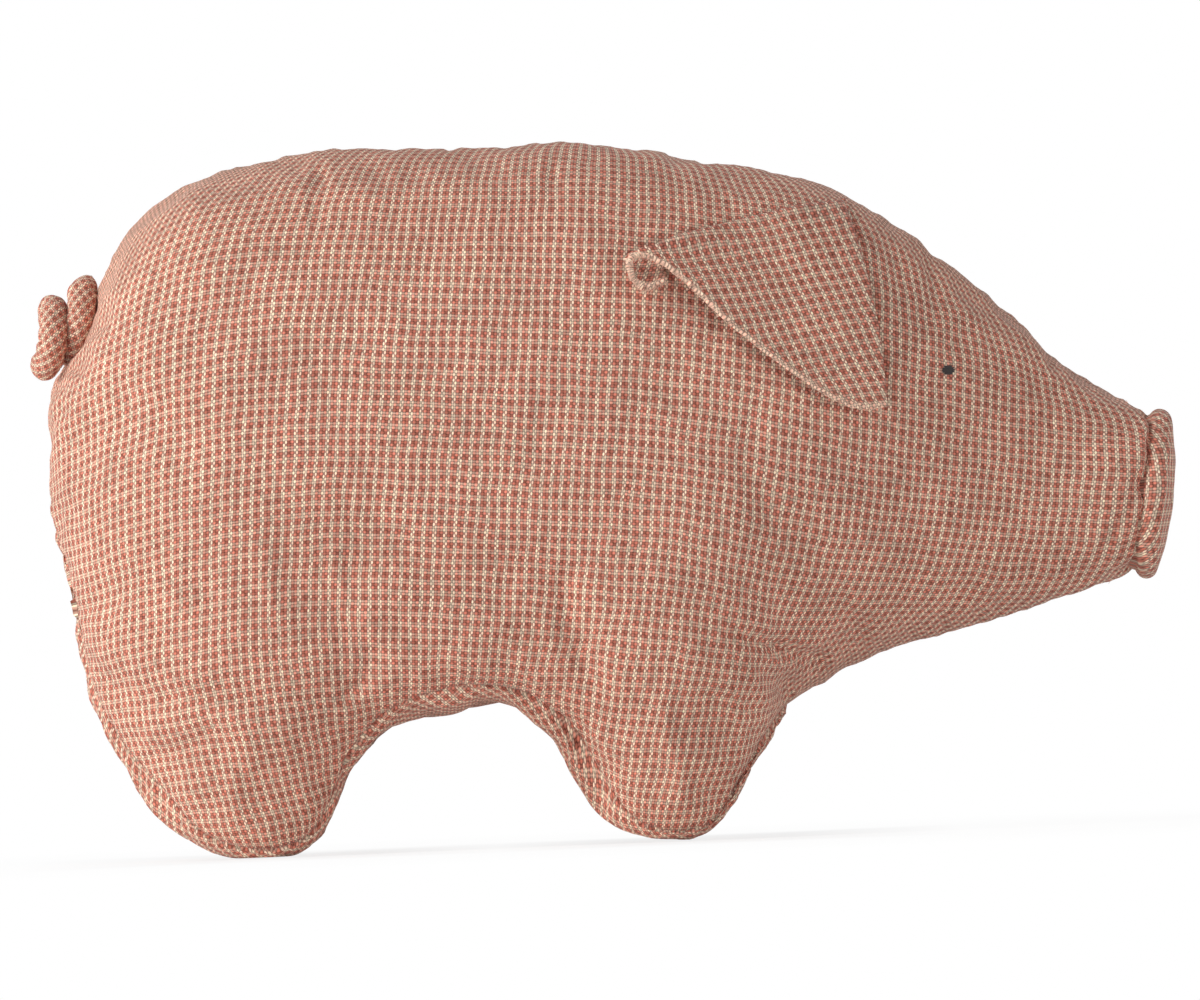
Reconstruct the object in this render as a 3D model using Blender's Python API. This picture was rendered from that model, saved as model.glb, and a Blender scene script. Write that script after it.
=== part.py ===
"""Plush pig, cut and sewn from cloth and filled with wads of stuffing.

The skin is two side pieces and a belly gusset. The gusset runs up the rump and
down the inner side of each leg. The head is one bag with the body, closed by a
padded snout. The ears and the corkscrew tail are sewn on and move.

Metres, +X towards the snout, +Z up. The pig stands on z = 0.
"""

import math

import bmesh
import bpy
import numpy as np
from mathutils import Matrix, Vector
from mathutils.bvhtree import BVHTree
from mathutils.interpolate import poly_3d_calc

# Overall sizes of the sewn body, without snout pad and tail
BODY_LENGTH = 0.3810
BODY_HEIGHT = 0.2455
BODY_WIDTH = 0.1280
RUMP_DEPTH = 0.0700
POLE_CAP = 0.0400

# Cloth, seams and fits
CLOTH = 0.0008
SEAM_GAP = 0.0004
STUFFING_GAP = 0.0006
WAD_GAP = 0.0004
SEAT_GAP = 0.0003

# Legs
LEG_LINE = 0.0350
LEG_DEPTH = 0.0520

# Snout pad
SNOUT_LEAN = math.radians(8.2)
SNOUT_HEIGHT_SHARE = 0.2322
SNOUT_WIDTH_SHARE = 0.4141
SNOUT_DEPTH = 0.0112
SNOUT_EDGE = 0.0044
SNOUT_RIM_START = math.radians(-62)
SNOUT_RIM_STEP = math.radians(27)

# Ears
EAR_FOLD_HEIGHT = 0.0700
EAR_REACH = 0.0840
EAR_TIP_WIDTH = 0.0110
EAR_HEEL_LEAN = 0.0098
EAR_FOLD_BOW = 0.0035
EAR_BULGE = 0.0090
EAR_STRIP_WIDTH = 0.0080
EAR_STRIP_THICKNESS = 0.0009
EAR_STRIP_LIFT = 0.0013
EAR_FLAP_LIFT = 0.0029
EAR_LAYER_GAP = 0.0004
EAR_TIP_LIFT = 0.0090
EAR_CURL_RADIUS = 0.0028
EAR_CURL_LENGTH = 0.0090

# Tail
TAIL_RADIUS = 0.0043
TAIL_DIMPLE_DEPTH = 0.0060
TAIL_DIMPLE_RADIUS = 0.0160
TAIL_DIMPLE_SIDE = 0.0080
TAIL_HELIX_RADIUS = 0.0097
TAIL_PITCH = 0.0102
TAIL_TURNS = 1.44
TAIL_NECK_TURNS = 0.11
TAIL_SWING = math.radians(14)
TAIL_DROOP = 0.0060
TAIL_NECK = 0.0074
TAIL_NECK_RADIUS = 0.0028

# Embroidered knots
EYE_LENGTH = 0.0044
EYE_HEIGHT = 0.0034
EYE_DEPTH = 0.0018
NOSTRIL_LENGTH = 0.0030
NOSTRIL_HEIGHT = 0.0046
NOSTRIL_DEPTH = 0.0014
NOSTRIL_SPACING = 0.0160

# How finely the forms are divided
RING_COUNT = 44
BACK_STEPS = 5
FLANK_STEPS = 4
SOLE_STEPS = 2
INSEAM_STEPS = 4
EAR_ROWS = 10
EAR_COLUMNS = 6
SNOUT_RIM_STEPS = 6
SNOUT_SIDES = 20
TAIL_SIDES = 10
TAIL_NECK_STEPS = 5
TAIL_TURN_STEPS = 16
TAIL_END_STEPS = 2.4

# Side-view lines of the body: share of the length, share of the height
BACK_SHARES = (
    (0.000, 0.519), (0.002, 0.607), (0.005, 0.656), (0.022, 0.725), (0.042, 0.786),
    (0.062, 0.841), (0.086, 0.892), (0.108, 0.930), (0.142, 0.961), (0.197, 0.982),
    (0.270, 0.998), (0.344, 0.998), (0.420, 0.994), (0.474, 0.998), (0.528, 0.990),
    (0.600, 0.965), (0.672, 0.945), (0.709, 0.929), (0.745, 0.902), (0.781, 0.866),
    (0.816, 0.823), (0.869, 0.752), (0.904, 0.692), (0.940, 0.642), (0.975, 0.605),
    (1.000, 0.582),
)
UNDER_SHARES = (
    (0.000, 0.519), (0.003, 0.489), (0.008, 0.456), (0.016, 0.403), (0.020, 0.367),
    (0.023, 0.318), (0.028, 0.263), (0.039, 0.204), (0.056, 0.147), (0.077, 0.088),
    (0.096, 0.057), (0.119, 0.029), (0.149, 0.003), (0.160, -0.002), (0.214, -0.002),
    (0.230, 0.012), (0.241, 0.033), (0.249, 0.053), (0.256, 0.079), (0.261, 0.106),
    (0.276, 0.132), (0.294, 0.159), (0.320, 0.183), (0.360, 0.187), (0.397, 0.208),
    (0.433, 0.183), (0.451, 0.153), (0.469, 0.092), (0.480, 0.063), (0.496, 0.033),
    (0.518, 0.014), (0.530, 0.000), (0.537, -0.002), (0.588, -0.002), (0.598, 0.010),
    (0.606, 0.026), (0.628, 0.081), (0.650, 0.136), (0.662, 0.168), (0.675, 0.190),
    (0.690, 0.208), (0.727, 0.238), (0.802, 0.275), (0.876, 0.303), (0.950, 0.334),
    (1.000, 0.352),
)
SEAM_SHARES = (
    (0.000, 0.519), (0.003, 0.494), (0.008, 0.462), (0.016, 0.411), (0.020, 0.375),
    (0.023, 0.326), (0.028, 0.273), (0.039, 0.220), (0.062, 0.155), (0.084, 0.120),
    (0.113, 0.059), (0.134, 0.029), (0.157, 0.010), (0.184, 0.007), (0.210, 0.008),
    (0.226, 0.018), (0.243, 0.041), (0.249, 0.059), (0.255, 0.086), (0.260, 0.114),
    (0.270, 0.147), (0.283, 0.171), (0.307, 0.200), (0.331, 0.212), (0.352, 0.222),
    (0.388, 0.226), (0.417, 0.228), (0.449, 0.193), (0.470, 0.173), (0.483, 0.147),
    (0.491, 0.102), (0.499, 0.065), (0.512, 0.037), (0.535, 0.012), (0.551, 0.008),
    (0.583, 0.008), (0.596, 0.018), (0.608, 0.037), (0.630, 0.092), (0.650, 0.144),
    (0.662, 0.174), (0.675, 0.190),
)
BELLY_SHARES = (
    (0.000, 0.519), (0.008, 0.470), (0.016, 0.424), (0.024, 0.387), (0.037, 0.342),
    (0.058, 0.297), (0.092, 0.257), (0.144, 0.228), (0.210, 0.216), (0.276, 0.206),
    (0.320, 0.190), (0.360, 0.188), (0.397, 0.211), (0.485, 0.208), (0.538, 0.208),
    (0.591, 0.204), (0.640, 0.198), (0.675, 0.190),
)
# Plan-view lines: share of the length, share of half the width
HALF_WIDTH_SHARES = (
    (0.000, 0.975), (0.184, 0.985), (0.367, 1.000), (0.525, 0.990), (0.617, 0.955),
    (0.669, 0.905), (0.724, 0.830), (0.780, 0.700), (0.835, 0.590), (0.890, 0.490),
    (0.934, 0.440), (1.000, 0.410),
)
SEAM_SPREAD_SHARES = (
    (0.000, 0.450), (0.010, 0.500), (0.022, 0.590), (0.042, 0.690), (0.084, 0.720),
    (0.113, 0.765), (0.144, 0.780), (0.184, 0.780), (0.223, 0.735), (0.243, 0.672),
    (0.255, 0.625), (0.268, 0.672), (0.289, 0.750), (0.328, 0.797), (0.394, 0.812),
    (0.433, 0.766), (0.459, 0.703), (0.483, 0.625), (0.499, 0.656), (0.525, 0.734),
    (0.564, 0.766), (0.593, 0.719), (0.612, 0.656), (0.630, 0.594), (0.648, 0.480),
    (0.664, 0.280), (0.675, 0.000),
)
GUSSET_END_SHARE = 0.675
NECK_SHARE = 0.735
LEG_TOP_SHARE = 0.175
ARCH_SHARE = 0.370
FRONT_LEG_END_SHARE = 0.640
SNOUT_SHEAR_START_SHARE = 0.860
SNOUT_CENTRE_SHARE = 0.467
SNOUT_FACE_SHARES = (0.62, 0.32)
WIDEST_SHARE = 0.50
ROUNDNESS = 2.4
STEP_SHARE = 0.01
LEG_LINE_SHARE = 0.72
FLANK_DROP_SHARE = 0.55
FLANK_SPREAD_SHARE = 0.60
FLANK_END_SHARE = 0.15
INNER_HANDLE_SHARE = 0.62
CROTCH_HANDLE_SHARE = 0.60
TAIL_ROOT_REACH_SHARE = 0.80
TAIL_ROOT_MOUTH_SHARE = 0.55
TAIL_ROOT_HEIGHT_SHARE = 0.814
TAIL_DIMPLE_HEIGHT_SHARE = 0.7454
TAIL_TIGHTEN_SHARE = 0.10

# Places on the body: share of the length, share of the height
EAR_TOP_SHARES = (0.7375, 0.893)
EAR_DROP_SHARE = 0.070
EAR_LIFT_START_SHARE = 0.45
EAR_FLAT_SHARE = 0.88
EAR_ROLL_SHARES = (0.91, 0.94, 0.97, 1.0)
EYE_SHARES = (0.826, 0.650)

CLOTH_COLOUR = (0.56, 0.26, 0.18, 1.0)
STUFFING_COLOUR = (0.86, 0.85, 0.82, 1.0)
THREAD_COLOUR = (0.035, 0.02, 0.015, 1.0)

RIGHT, GUSSET, LEFT, OPENING = range(4)


def line_at(shares, x):
    """Monotone cubic through hand-set points, at a share of the length."""
    xs, ys = np.array(shares).T
    steps = np.diff(xs)
    rises = np.diff(ys) / steps
    slopes = np.concatenate([[rises[0]], (rises[:-1] + rises[1:]) / 2, [rises[-1]]])
    slopes[1:-1][rises[:-1] * rises[1:] <= 0] = 0
    for i, rise in enumerate(rises):
        most = 3 * abs(rise)
        slopes[i : i + 2] = np.clip(slopes[i : i + 2], -most, most)
    i = int(np.clip(np.searchsorted(xs, x) - 1, 0, len(rises) - 1))
    t = (x - xs[i]) / steps[i]
    start = ys[i] * (1 + 2 * t) * (1 - t) ** 2 + slopes[i] * steps[i] * t * (1 - t) ** 2
    end = ys[i + 1] * t * t * (3 - 2 * t) + slopes[i + 1] * steps[i] * t * t * (t - 1)
    return start + end


def bezier(points, t):
    """A point of a cubic Bezier curve."""
    a, b, c, d = (Vector(point) for point in points)
    s = 1 - t
    return a * s**3 + b * (3 * s * s * t) + c * (3 * s * t * t) + d * t**3


def smooth(t):
    """Eased step from 0 to 1."""
    t = min(max(t, 0), 1)
    return t * t * (3 - 2 * t)


def rump_round(x):
    """How far the rump's rounding has opened, from 0 at the rear to 1."""
    inside = 1 - min(x * BODY_LENGTH / RUMP_DEPTH, 1)
    return math.sqrt(1 - inside * inside)


def half_section(x):
    """Right half of the body's cross-section at a share of the length, as (y, z).

    It runs from the spine round the flank to the seam, and on to the middle of
    the gusset.
    """
    opened = rump_round(x) * BODY_WIDTH / 2
    top = line_at(BACK_SHARES, x) * BODY_HEIGHT
    width = line_at(HALF_WIDTH_SHARES, x) * opened
    if x < GUSSET_END_SHARE:
        belly = line_at(BELLY_SHARES, x) * BODY_HEIGHT
        seam = line_at(SEAM_SHARES, x) * BODY_HEIGHT
        low = line_at(UNDER_SHARES, x) * BODY_HEIGHT
        spread = line_at(SEAM_SPREAD_SHARES, x) * opened
    else:
        belly = seam = low = line_at(UNDER_SHARES, x) * BODY_HEIGHT
        spread = 0.0
    middle = belly + WIDEST_SHARE * (top - belly)
    points = []
    for step in range(BACK_STEPS):
        angle = step / BACK_STEPS * math.pi / 2
        y = width * math.sin(angle) ** (2 / ROUNDNESS)
        z = middle + (top - middle) * math.cos(angle) ** (2 / ROUNDNESS)
        points.append((y, z))
    drop = middle - seam
    flank = (
        (width, middle),
        (width, middle - FLANK_DROP_SHARE * drop),
        (spread + FLANK_SPREAD_SHARE * (width - spread), seam + FLANK_END_SHARE * drop),
        (spread, seam),
    )
    points += [bezier(flank, step / FLANK_STEPS) for step in range(FLANK_STEPS)]
    line = min(LEG_LINE * rump_round(x), LEG_LINE_SHARE * spread)
    sole = ((spread, seam), (spread, low), ((spread + line) / 2, low), (line, low))
    points += [bezier(sole, step / SOLE_STEPS) for step in range(SOLE_STEPS)]
    deep = min(max((belly - low) / LEG_DEPTH, 0), 1)
    inseam = (
        (line, low),
        (line * (1 - INNER_HANDLE_SHARE * deep), low),
        (line * CROTCH_HANDLE_SHARE, belly),
        (0, belly),
    )
    points += [bezier(inseam, step / INSEAM_STEPS) for step in range(INSEAM_STEPS + 1)]
    return [(point[0], point[1]) for point in points]


def place(x, y, z):
    """Body point at a share of the length, leaned forward towards the snout."""
    lean = max(x - SNOUT_SHEAR_START_SHARE, 0) / (1 - SNOUT_SHEAR_START_SHARE)
    rise = z - SNOUT_CENTRE_SHARE * BODY_HEIGHT
    return Vector((x * BODY_LENGTH + lean * math.tan(SNOUT_LEAN) * rise, y, z))


def station_shares():
    """Shares of the length where the rings stand: even along the outlines."""
    xs = np.linspace(0, 1, 801)
    under = np.array([line_at(UNDER_SHARES, x) for x in xs]) * BODY_HEIGHT
    back = np.array([line_at(BACK_SHARES, x) for x in xs]) * BODY_HEIGHT
    walk = np.hypot(np.diff(xs) * BODY_LENGTH, np.hypot(np.diff(under), np.diff(back)))
    walked = np.concatenate([[0], np.cumsum(walk)])
    shares = np.interp(np.linspace(POLE_CAP, walked[-1], RING_COUNT), walked, xs)
    shares[np.abs(shares - GUSSET_END_SHARE).argmin()] = GUSSET_END_SHARE
    return [float(share) for share in shares]


def loft(rings, labels, first=None, last=None):
    """Closed skin through rings of equal count; labels name each strip's piece."""
    mesh = bmesh.new()
    rows = [[mesh.verts.new(point) for point in ring] for ring in rings]
    count = len(rows[0])
    for row, following in zip(rows, rows[1:]):
        for i in range(count):
            j = (i + 1) % count
            face = mesh.faces.new((row[i], row[j], following[j], following[i]))
            face.material_index = labels[i]
    for row, tip in ((rows[0], first), (rows[-1], last)):
        if tip is None:
            mesh.faces.new(row).material_index = OPENING
            continue
        point = mesh.verts.new(tip)
        for i in range(count):
            face = mesh.faces.new((row[i], row[(i + 1) % count], point))
            face.material_index = labels[i]
    bmesh.ops.remove_doubles(mesh, verts=mesh.verts, dist=CLOTH / 100)
    bmesh.ops.dissolve_degenerate(mesh, edges=mesh.edges, dist=CLOTH / 100)
    bmesh.ops.recalc_face_normals(mesh, faces=mesh.faces)
    return mesh


def body_form():
    """The outside of the sewn body, labelled by the pieces of cloth."""
    side = BACK_STEPS + FLANK_STEPS
    under = SOLE_STEPS + INSEAM_STEPS
    labels = [RIGHT] * side + [GUSSET] * (2 * under) + [LEFT] * side
    rings = []
    _, tuck = rim_point(0)
    for x in station_shares()[:-1] + [1 - tuck / BODY_LENGTH, 1]:
        half = half_section(x)
        ring = [place(x, -y, z) for y, z in half]
        ring += [place(x, y, z) for y, z in reversed(half[1:-1])]
        rings.append(ring)
    centre = place(1, 0, SNOUT_CENTRE_SHARE * BODY_HEIGHT)
    drawn_in = 1 - 2 * tuck / (SNOUT_HEIGHT_SHARE * BODY_HEIGHT)
    rings[-1] = [centre.lerp(point, drawn_in) for point in rings[-1]]
    pole = place(0, 0, BACK_SHARES[0][1] * BODY_HEIGHT)
    mesh = loft(rings, labels, first=pole)
    dimple = TAIL_DIMPLE_HEIGHT_SHARE * BODY_HEIGHT
    for vertex in mesh.verts:
        vertex.co.z = max(vertex.co.z, 0)
        if vertex.co.x < RUMP_DEPTH:
            away = math.hypot(vertex.co.y + TAIL_DIMPLE_SIDE, vertex.co.z - dimple)
            vertex.co.x += TAIL_DIMPLE_DEPTH * math.exp(-((away / TAIL_DIMPLE_RADIUS) ** 2))
    bmesh.ops.triangulate(mesh, faces=mesh.faces, quad_method="SHORT_EDGE")
    return mesh


def inset_form(form, depth):
    """A copy of a closed form, shrunk evenly by a depth."""
    mesh = form.copy()
    mesh.normal_update()
    moves = [v.normal * (-depth * v.calc_shell_factor()) for v in mesh.verts]
    for vertex, move in zip(mesh.verts, moves):
        vertex.co += move
    return mesh


def cloth_piece(form, label):
    """One piece of cloth of a closed form: its faces, given the cloth's thickness.

    The inner sheet comes from the whole form, so that neighbours meet in a mitre.
    """
    mesh = form.copy()
    inner = inset_form(form, CLOTH)
    for sheet in (mesh, inner):
        others = [face for face in sheet.faces if face.material_index != label]
        bmesh.ops.delete(sheet, geom=others, context="FACES")
        moves = {}
        for vertex in sheet.verts:
            if vertex.is_boundary:
                centre = sum((f.calc_center_median() for f in vertex.link_faces), Vector())
                inward = centre / len(vertex.link_faces) - vertex.co
                moves[vertex] = inward.normalized() * (SEAM_GAP / 2)
        for vertex, move in moves.items():
            vertex.co += move
    rims = [tuple(edge.verts) for edge in mesh.edges if edge.is_boundary]
    outer = list(mesh.verts)
    inner.verts.index_update()
    copies = [mesh.verts.new(vertex.co) for vertex in inner.verts]
    partner = dict(zip(outer, copies))
    for face in inner.faces:
        mesh.faces.new([copies[vertex.index] for vertex in reversed(face.verts)])
    for a, b in rims:
        mesh.faces.new((a, b, partner[b], partner[a]))
    inner.free()
    bmesh.ops.recalc_face_normals(mesh, faces=mesh.faces)
    return mesh


def material(name, colour, roughness):
    """A plain material of the part's colour."""
    made = bpy.data.materials.new(name)
    made.use_nodes = True
    shader = made.node_tree.nodes["Principled BSDF"]
    shader.inputs["Base Color"].default_value = colour
    shader.inputs["Roughness"].default_value = roughness
    made.diffuse_color = colour
    return made


def add(name, mesh, look):
    """An object of the scene from a finished mesh, shaded smooth."""
    bmesh.ops.triangulate(mesh, faces=[f for f in mesh.faces if len(f.verts) > 4])
    data = bpy.data.meshes.new(name)
    for face in mesh.faces:
        face.material_index = 0
    mesh.to_mesh(data)
    mesh.free()
    data.materials.append(material(name, *look))
    data.shade_smooth()
    data.set_sharp_from_angle(angle=math.radians(50))
    made = bpy.data.objects.new(name, data)
    bpy.context.scene.collection.objects.link(made)
    return made


def block(name, low, high):
    """A box-shaped cutter between two corners."""
    mesh = bmesh.new()
    bmesh.ops.create_cube(mesh, size=1)
    size = Vector(high) - Vector(low)
    centre = (Vector(high) + Vector(low)) / 2
    bmesh.ops.transform(mesh, matrix=Matrix.LocRotScale(centre, None, size), verts=mesh.verts)
    made = add(name, mesh, (STUFFING_COLOUR, 1.0))
    made.hide_render = True
    made.display_type = "WIRE"
    return made


def body_cloth(form):
    """The two side pieces and the belly gusset."""
    look = (CLOTH_COLOUR, 0.95)
    for name, label in (
        ("right_side_panel", RIGHT),
        ("belly_gusset", GUSSET),
        ("left_side_panel", LEFT),
    ):
        add(name, cloth_piece(form, label), look)


def wad(name, form, low, high):
    """A wad of stuffing: what the skin holds between two corners of a block."""
    made = add(name, inset_form(form, CLOTH + STUFFING_GAP), (STUFFING_COLOUR, 1.0))
    modifier = made.modifiers.new("cut", "BOOLEAN")
    modifier.operation = "INTERSECT"
    modifier.solver = "EXACT"
    modifier.object = block(f"{name}_room", low, high)


def stuffing(form):
    """Wads that fill the skin: trunk, head and four legs, each cut by the larger."""
    far = BODY_LENGTH
    half_gap = WAD_GAP / 2
    neck = NECK_SHARE * BODY_LENGTH
    crotch = LEG_TOP_SHARE * BODY_HEIGHT
    arch = ARCH_SHARE * BODY_LENGTH
    chest = FRONT_LEG_END_SHARE * BODY_LENGTH
    wad("torso_stuffing", form, (-far, -far, crotch + half_gap), (neck - half_gap, far, far))
    wad("head_stuffing", form, (neck + half_gap, -far, -far), (2 * far, far, far))
    for end, rear, front in (("hind", -far, arch), ("front", arch, chest)):
        for side, right, left in (("right", -far, 0), ("left", 0, far)):
            low = (rear, right, -far)
            high = (front, left, crotch - half_gap)
            wad(f"{end}_leg_stuffing_{side}", form, low, high)


def rim_point(step):
    """Depth and inward distance of a step of the snout's rounded rim."""
    angle = SNOUT_RIM_START + step * SNOUT_RIM_STEP
    depth = SNOUT_EDGE * (math.sin(angle) - math.sin(SNOUT_RIM_START))
    return depth, SNOUT_EDGE * (1 - math.cos(angle))


def snout_rings():
    """Rings of the snout's disc: a rounded rim, then a slightly domed front."""
    wide = SNOUT_WIDTH_SHARE * BODY_WIDTH / 2
    high = SNOUT_HEIGHT_SHARE * BODY_HEIGHT / 2
    profile = []
    for step in range(SNOUT_RIM_STEPS):
        depth, inwards = rim_point(step)
        profile.append((depth, wide - inwards, high - inwards))
    for share in SNOUT_FACE_SHARES:
        depth = SNOUT_DEPTH - (SNOUT_DEPTH - 2 * SNOUT_EDGE) * share**2
        profile.append((depth, (wide - SNOUT_EDGE) * share, (high - SNOUT_EDGE) * share))
    rings = []
    for depth, half_wide, half_high in profile:
        angles = [side / SNOUT_SIDES * math.tau for side in range(SNOUT_SIDES)]
        rings.append([(depth, half_wide * math.sin(a), half_high * math.cos(a)) for a in angles])
    return rings


def snout():
    """The padded disc that closes the head: a cloth cover over its wadding."""
    form = loft(snout_rings(), [RIGHT] * SNOUT_SIDES, last=(SNOUT_DEPTH, 0, 0))
    seat = Matrix.Translation(place(1, 0, SNOUT_CENTRE_SHARE * BODY_HEIGHT))
    seat = seat @ Matrix.Rotation(SNOUT_LEAN, 4, "Y")
    seat = seat @ Matrix.Translation((SEAT_GAP, 0, 0))
    bmesh.ops.transform(form, matrix=seat, verts=form.verts)
    front = BVHTree.FromBMesh(form)
    wadding = inset_form(form, CLOTH + STUFFING_GAP)
    add("snout_cover", cloth_piece(form, RIGHT), (CLOTH_COLOUR, 0.95))
    add("snout_wadding", wadding, (STUFFING_COLOUR, 1.0))
    form.free()
    for side, name in ((-1, "nostril_right"), (1, "nostril_left")):
        eye = seat @ Vector((BODY_LENGTH, side * NOSTRIL_SPACING / 2, 0))
        back = seat.to_3x3() @ Vector((-1, 0, 0))
        hit, normal, _, _ = front.ray_cast(eye, back)
        knot(name, hit, normal, NOSTRIL_DEPTH, NOSTRIL_LENGTH, NOSTRIL_HEIGHT)


def knot(name, hit, normal, depth, length, height):
    """A stitched knot lying on the cloth, flat side along the surface."""
    mesh = bmesh.new()
    bmesh.ops.create_icosphere(mesh, subdivisions=2, radius=0.5)
    up = Vector((0, 0, 1))
    across = up.cross(normal).normalized()
    upright = normal.cross(across)
    turn = Matrix((normal, across, upright)).transposed().to_4x4()
    size = Matrix.Diagonal((depth, length, height, 1))
    centre = Matrix.Translation(hit + normal * (depth / 2 + SEAT_GAP))
    bmesh.ops.transform(mesh, matrix=centre @ turn @ size, verts=mesh.verts)
    return add(name, mesh, (THREAD_COLOUR, 0.6))


class Skin:
    """The outside of the body, on which ears, eyes and tail are seated."""

    def __init__(self, form):
        self.form = form
        self.form.normal_update()
        self.form.faces.ensure_lookup_table()
        self.tree = BVHTree.FromBMesh(form)

    def hit(self, start, way):
        """Where a line meets the skin, and the smoothed way out there."""
        point, _, index, _ = self.tree.ray_cast(start, way)
        corners = self.form.faces[index].verts
        shares = poly_3d_calc([corner.co for corner in corners], point)
        out = sum((corner.normal * share for corner, share in zip(corners, shares)), Vector())
        return point, out.normalized()

    def over(self, x, z, lift, side):
        """Point at a height over the skin, seen from the side, and the way out there."""
        start = Vector((x, side * BODY_LENGTH, z))
        point, out = self.hit(start, Vector((0, -side, 0)))
        return point + out * lift, out


def eyes(skin):
    """The two embroidered eyes."""
    x, z = EYE_SHARES[0] * BODY_LENGTH, EYE_SHARES[1] * BODY_HEIGHT
    for side, name in ((-1, "eye_right"), (1, "eye_left")):
        hit, normal = skin.over(x, z, 0, side)
        knot(name, hit, normal, EYE_DEPTH, EYE_LENGTH, EYE_HEIGHT)


def ear_outline(u, v):
    """Side-view point of an ear: u from fold to tip, v from top edge to lower edge."""
    top = Vector((EAR_TOP_SHARES[0] * BODY_LENGTH, EAR_TOP_SHARES[1] * BODY_HEIGHT))
    heel = top + Vector((EAR_HEEL_LEAN, -EAR_FOLD_HEIGHT))
    fold = top.lerp(heel, v) + Vector((EAR_FOLD_BOW * 4 * v * (1 - v), 0))
    tip = top - Vector((EAR_REACH, EAR_DROP_SHARE * BODY_HEIGHT + EAR_TIP_WIDTH * v))
    bulge = EAR_BULGE * v * 6.75 * u * (1 - u) ** 2
    return fold.lerp(tip, u) - Vector((0, bulge))


def ear_middle(skin, u, v):
    """Middle surface of the right ear, with its tip rolled under."""
    curl_start = 1 - EAR_CURL_LENGTH / EAR_REACH
    flat = min(u, curl_start)
    lift = EAR_FLAP_LIFT + CLOTH + EAR_LAYER_GAP / 2
    lift_start = EAR_LIFT_START_SHARE
    lift += EAR_TIP_LIFT * smooth((flat - lift_start) / (curl_start - lift_start))
    point, out = skin.over(*ear_outline(flat, v), lift, -1)
    if u <= curl_start:
        return point
    before, _ = skin.over(*ear_outline(flat - 2 * STEP_SHARE, v), lift, -1)
    along = (point - before).normalized()
    rolled = (u - curl_start) * EAR_REACH / EAR_CURL_RADIUS
    ahead = math.sin(rolled) * EAR_CURL_RADIUS
    down = (1 - math.cos(rolled)) * EAR_CURL_RADIUS
    return point + along * ahead - out * down


def ear_grid(skin, offset):
    """Grid of points at an offset from the ear's middle surface, out from the head."""
    strip = EAR_STRIP_WIDTH / EAR_REACH
    flat = EAR_FLAT_SHARE - strip
    us = [0, strip / 2, strip]
    us += [strip + flat * step / EAR_COLUMNS for step in range(1, EAR_COLUMNS + 1)]
    us += EAR_ROLL_SHARES
    vs = [step / EAR_ROWS for step in range(EAR_ROWS + 1)]
    share = STEP_SHARE
    grid = []
    for u in us:
        row = []
        for v in vs:
            point = ear_middle(skin, u, v)
            along = ear_middle(skin, u + share, v) - ear_middle(skin, u - share, v)
            across = ear_middle(skin, u, min(v + share, 1)) - ear_middle(skin, u, max(v - share, 0))
            row.append(point + along.cross(across).normalized() * offset)
        grid.append(row)
    return grid


def slab(upper, lower):
    """Closed sheet of cloth between two grids of points."""
    mesh = bmesh.new()
    sheets = []
    for grid in (upper, lower):
        sheets.append([[mesh.verts.new(point) for point in row] for row in grid])
    for sheet in sheets:
        for row, following in zip(sheet, sheet[1:]):
            for i in range(len(row) - 1):
                mesh.faces.new((row[i], row[i + 1], following[i + 1], following[i]))
    edges = []
    for sheet in sheets:
        edge = sheet[0] + [row[-1] for row in sheet[1:]]
        edge += sheet[-1][-2::-1] + [row[0] for row in sheet[-2:0:-1]]
        edges.append(edge)
    count = len(edges[0])
    for i in range(count):
        j = (i + 1) % count
        mesh.faces.new((edges[0][i], edges[0][j], edges[1][j], edges[1][i]))
    bmesh.ops.recalc_face_normals(mesh, faces=mesh.faces)
    return mesh


def mirrored(mesh):
    """The same mesh on the other side of the middle plane."""
    copy = mesh.copy()
    bmesh.ops.transform(copy, matrix=Matrix.Scale(-1, 4, (0, 1, 0)), verts=copy.verts)
    bmesh.ops.reverse_faces(copy, faces=copy.faces)
    return copy


def ears(skin):
    """Each ear: a strip sewn to the head, and a flap of two layers folded over it."""
    look = (CLOTH_COLOUR, 0.95)
    half_gap = EAR_LAYER_GAP / 2
    outer = slab(ear_grid(skin, half_gap + CLOTH), ear_grid(skin, half_gap))
    lining = slab(ear_grid(skin, -half_gap), ear_grid(skin, -half_gap - CLOTH))
    sheets = []
    for lift in (EAR_STRIP_LIFT, EAR_STRIP_LIFT + EAR_STRIP_THICKNESS):
        grid = []
        for back in (0, EAR_STRIP_WIDTH / 2, EAR_STRIP_WIDTH):
            row = []
            for step in range(EAR_ROWS + 1):
                x, z = ear_outline(back / EAR_REACH, step / EAR_ROWS)
                row.append(skin.over(x, z, lift, -1)[0])
            grid.append(row)
        sheets.append(grid)
    strip = slab(*sheets)
    middle = ear_middle(skin, 0, 0.5)
    along = ear_middle(skin, 0, 0) - ear_middle(skin, 0, 1)
    for side, name in ((-1, "right"), (1, "left")):
        flip = mirrored if side > 0 else bmesh.types.BMesh.copy
        add(f"ear_{name}_strip", flip(strip), look)
        hinge = bpy.data.objects.new(f"ear_{name}_hinge", None)
        hinge.location = (middle.x, -side * middle.y, middle.z)
        bpy.context.scene.collection.objects.link(hinge)
        axis = Vector((along.x, -side * along.y, along.z)).normalized()
        hinge.rotation_euler = axis.to_track_quat("Z", "Y").to_euler()
        bpy.context.view_layer.update()
        for layer, mesh in (("outer", outer), ("lining", lining)):
            made = add(f"ear_{name}_{layer}", flip(mesh), look)
            made.parent = hinge
            made.matrix_parent_inverse = hinge.matrix_world.inverted()
        print(f"ear_{name} axis at", tuple(hinge.location), "along", tuple(axis))
    for mesh in (outer, lining, strip):
        mesh.free()


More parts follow.
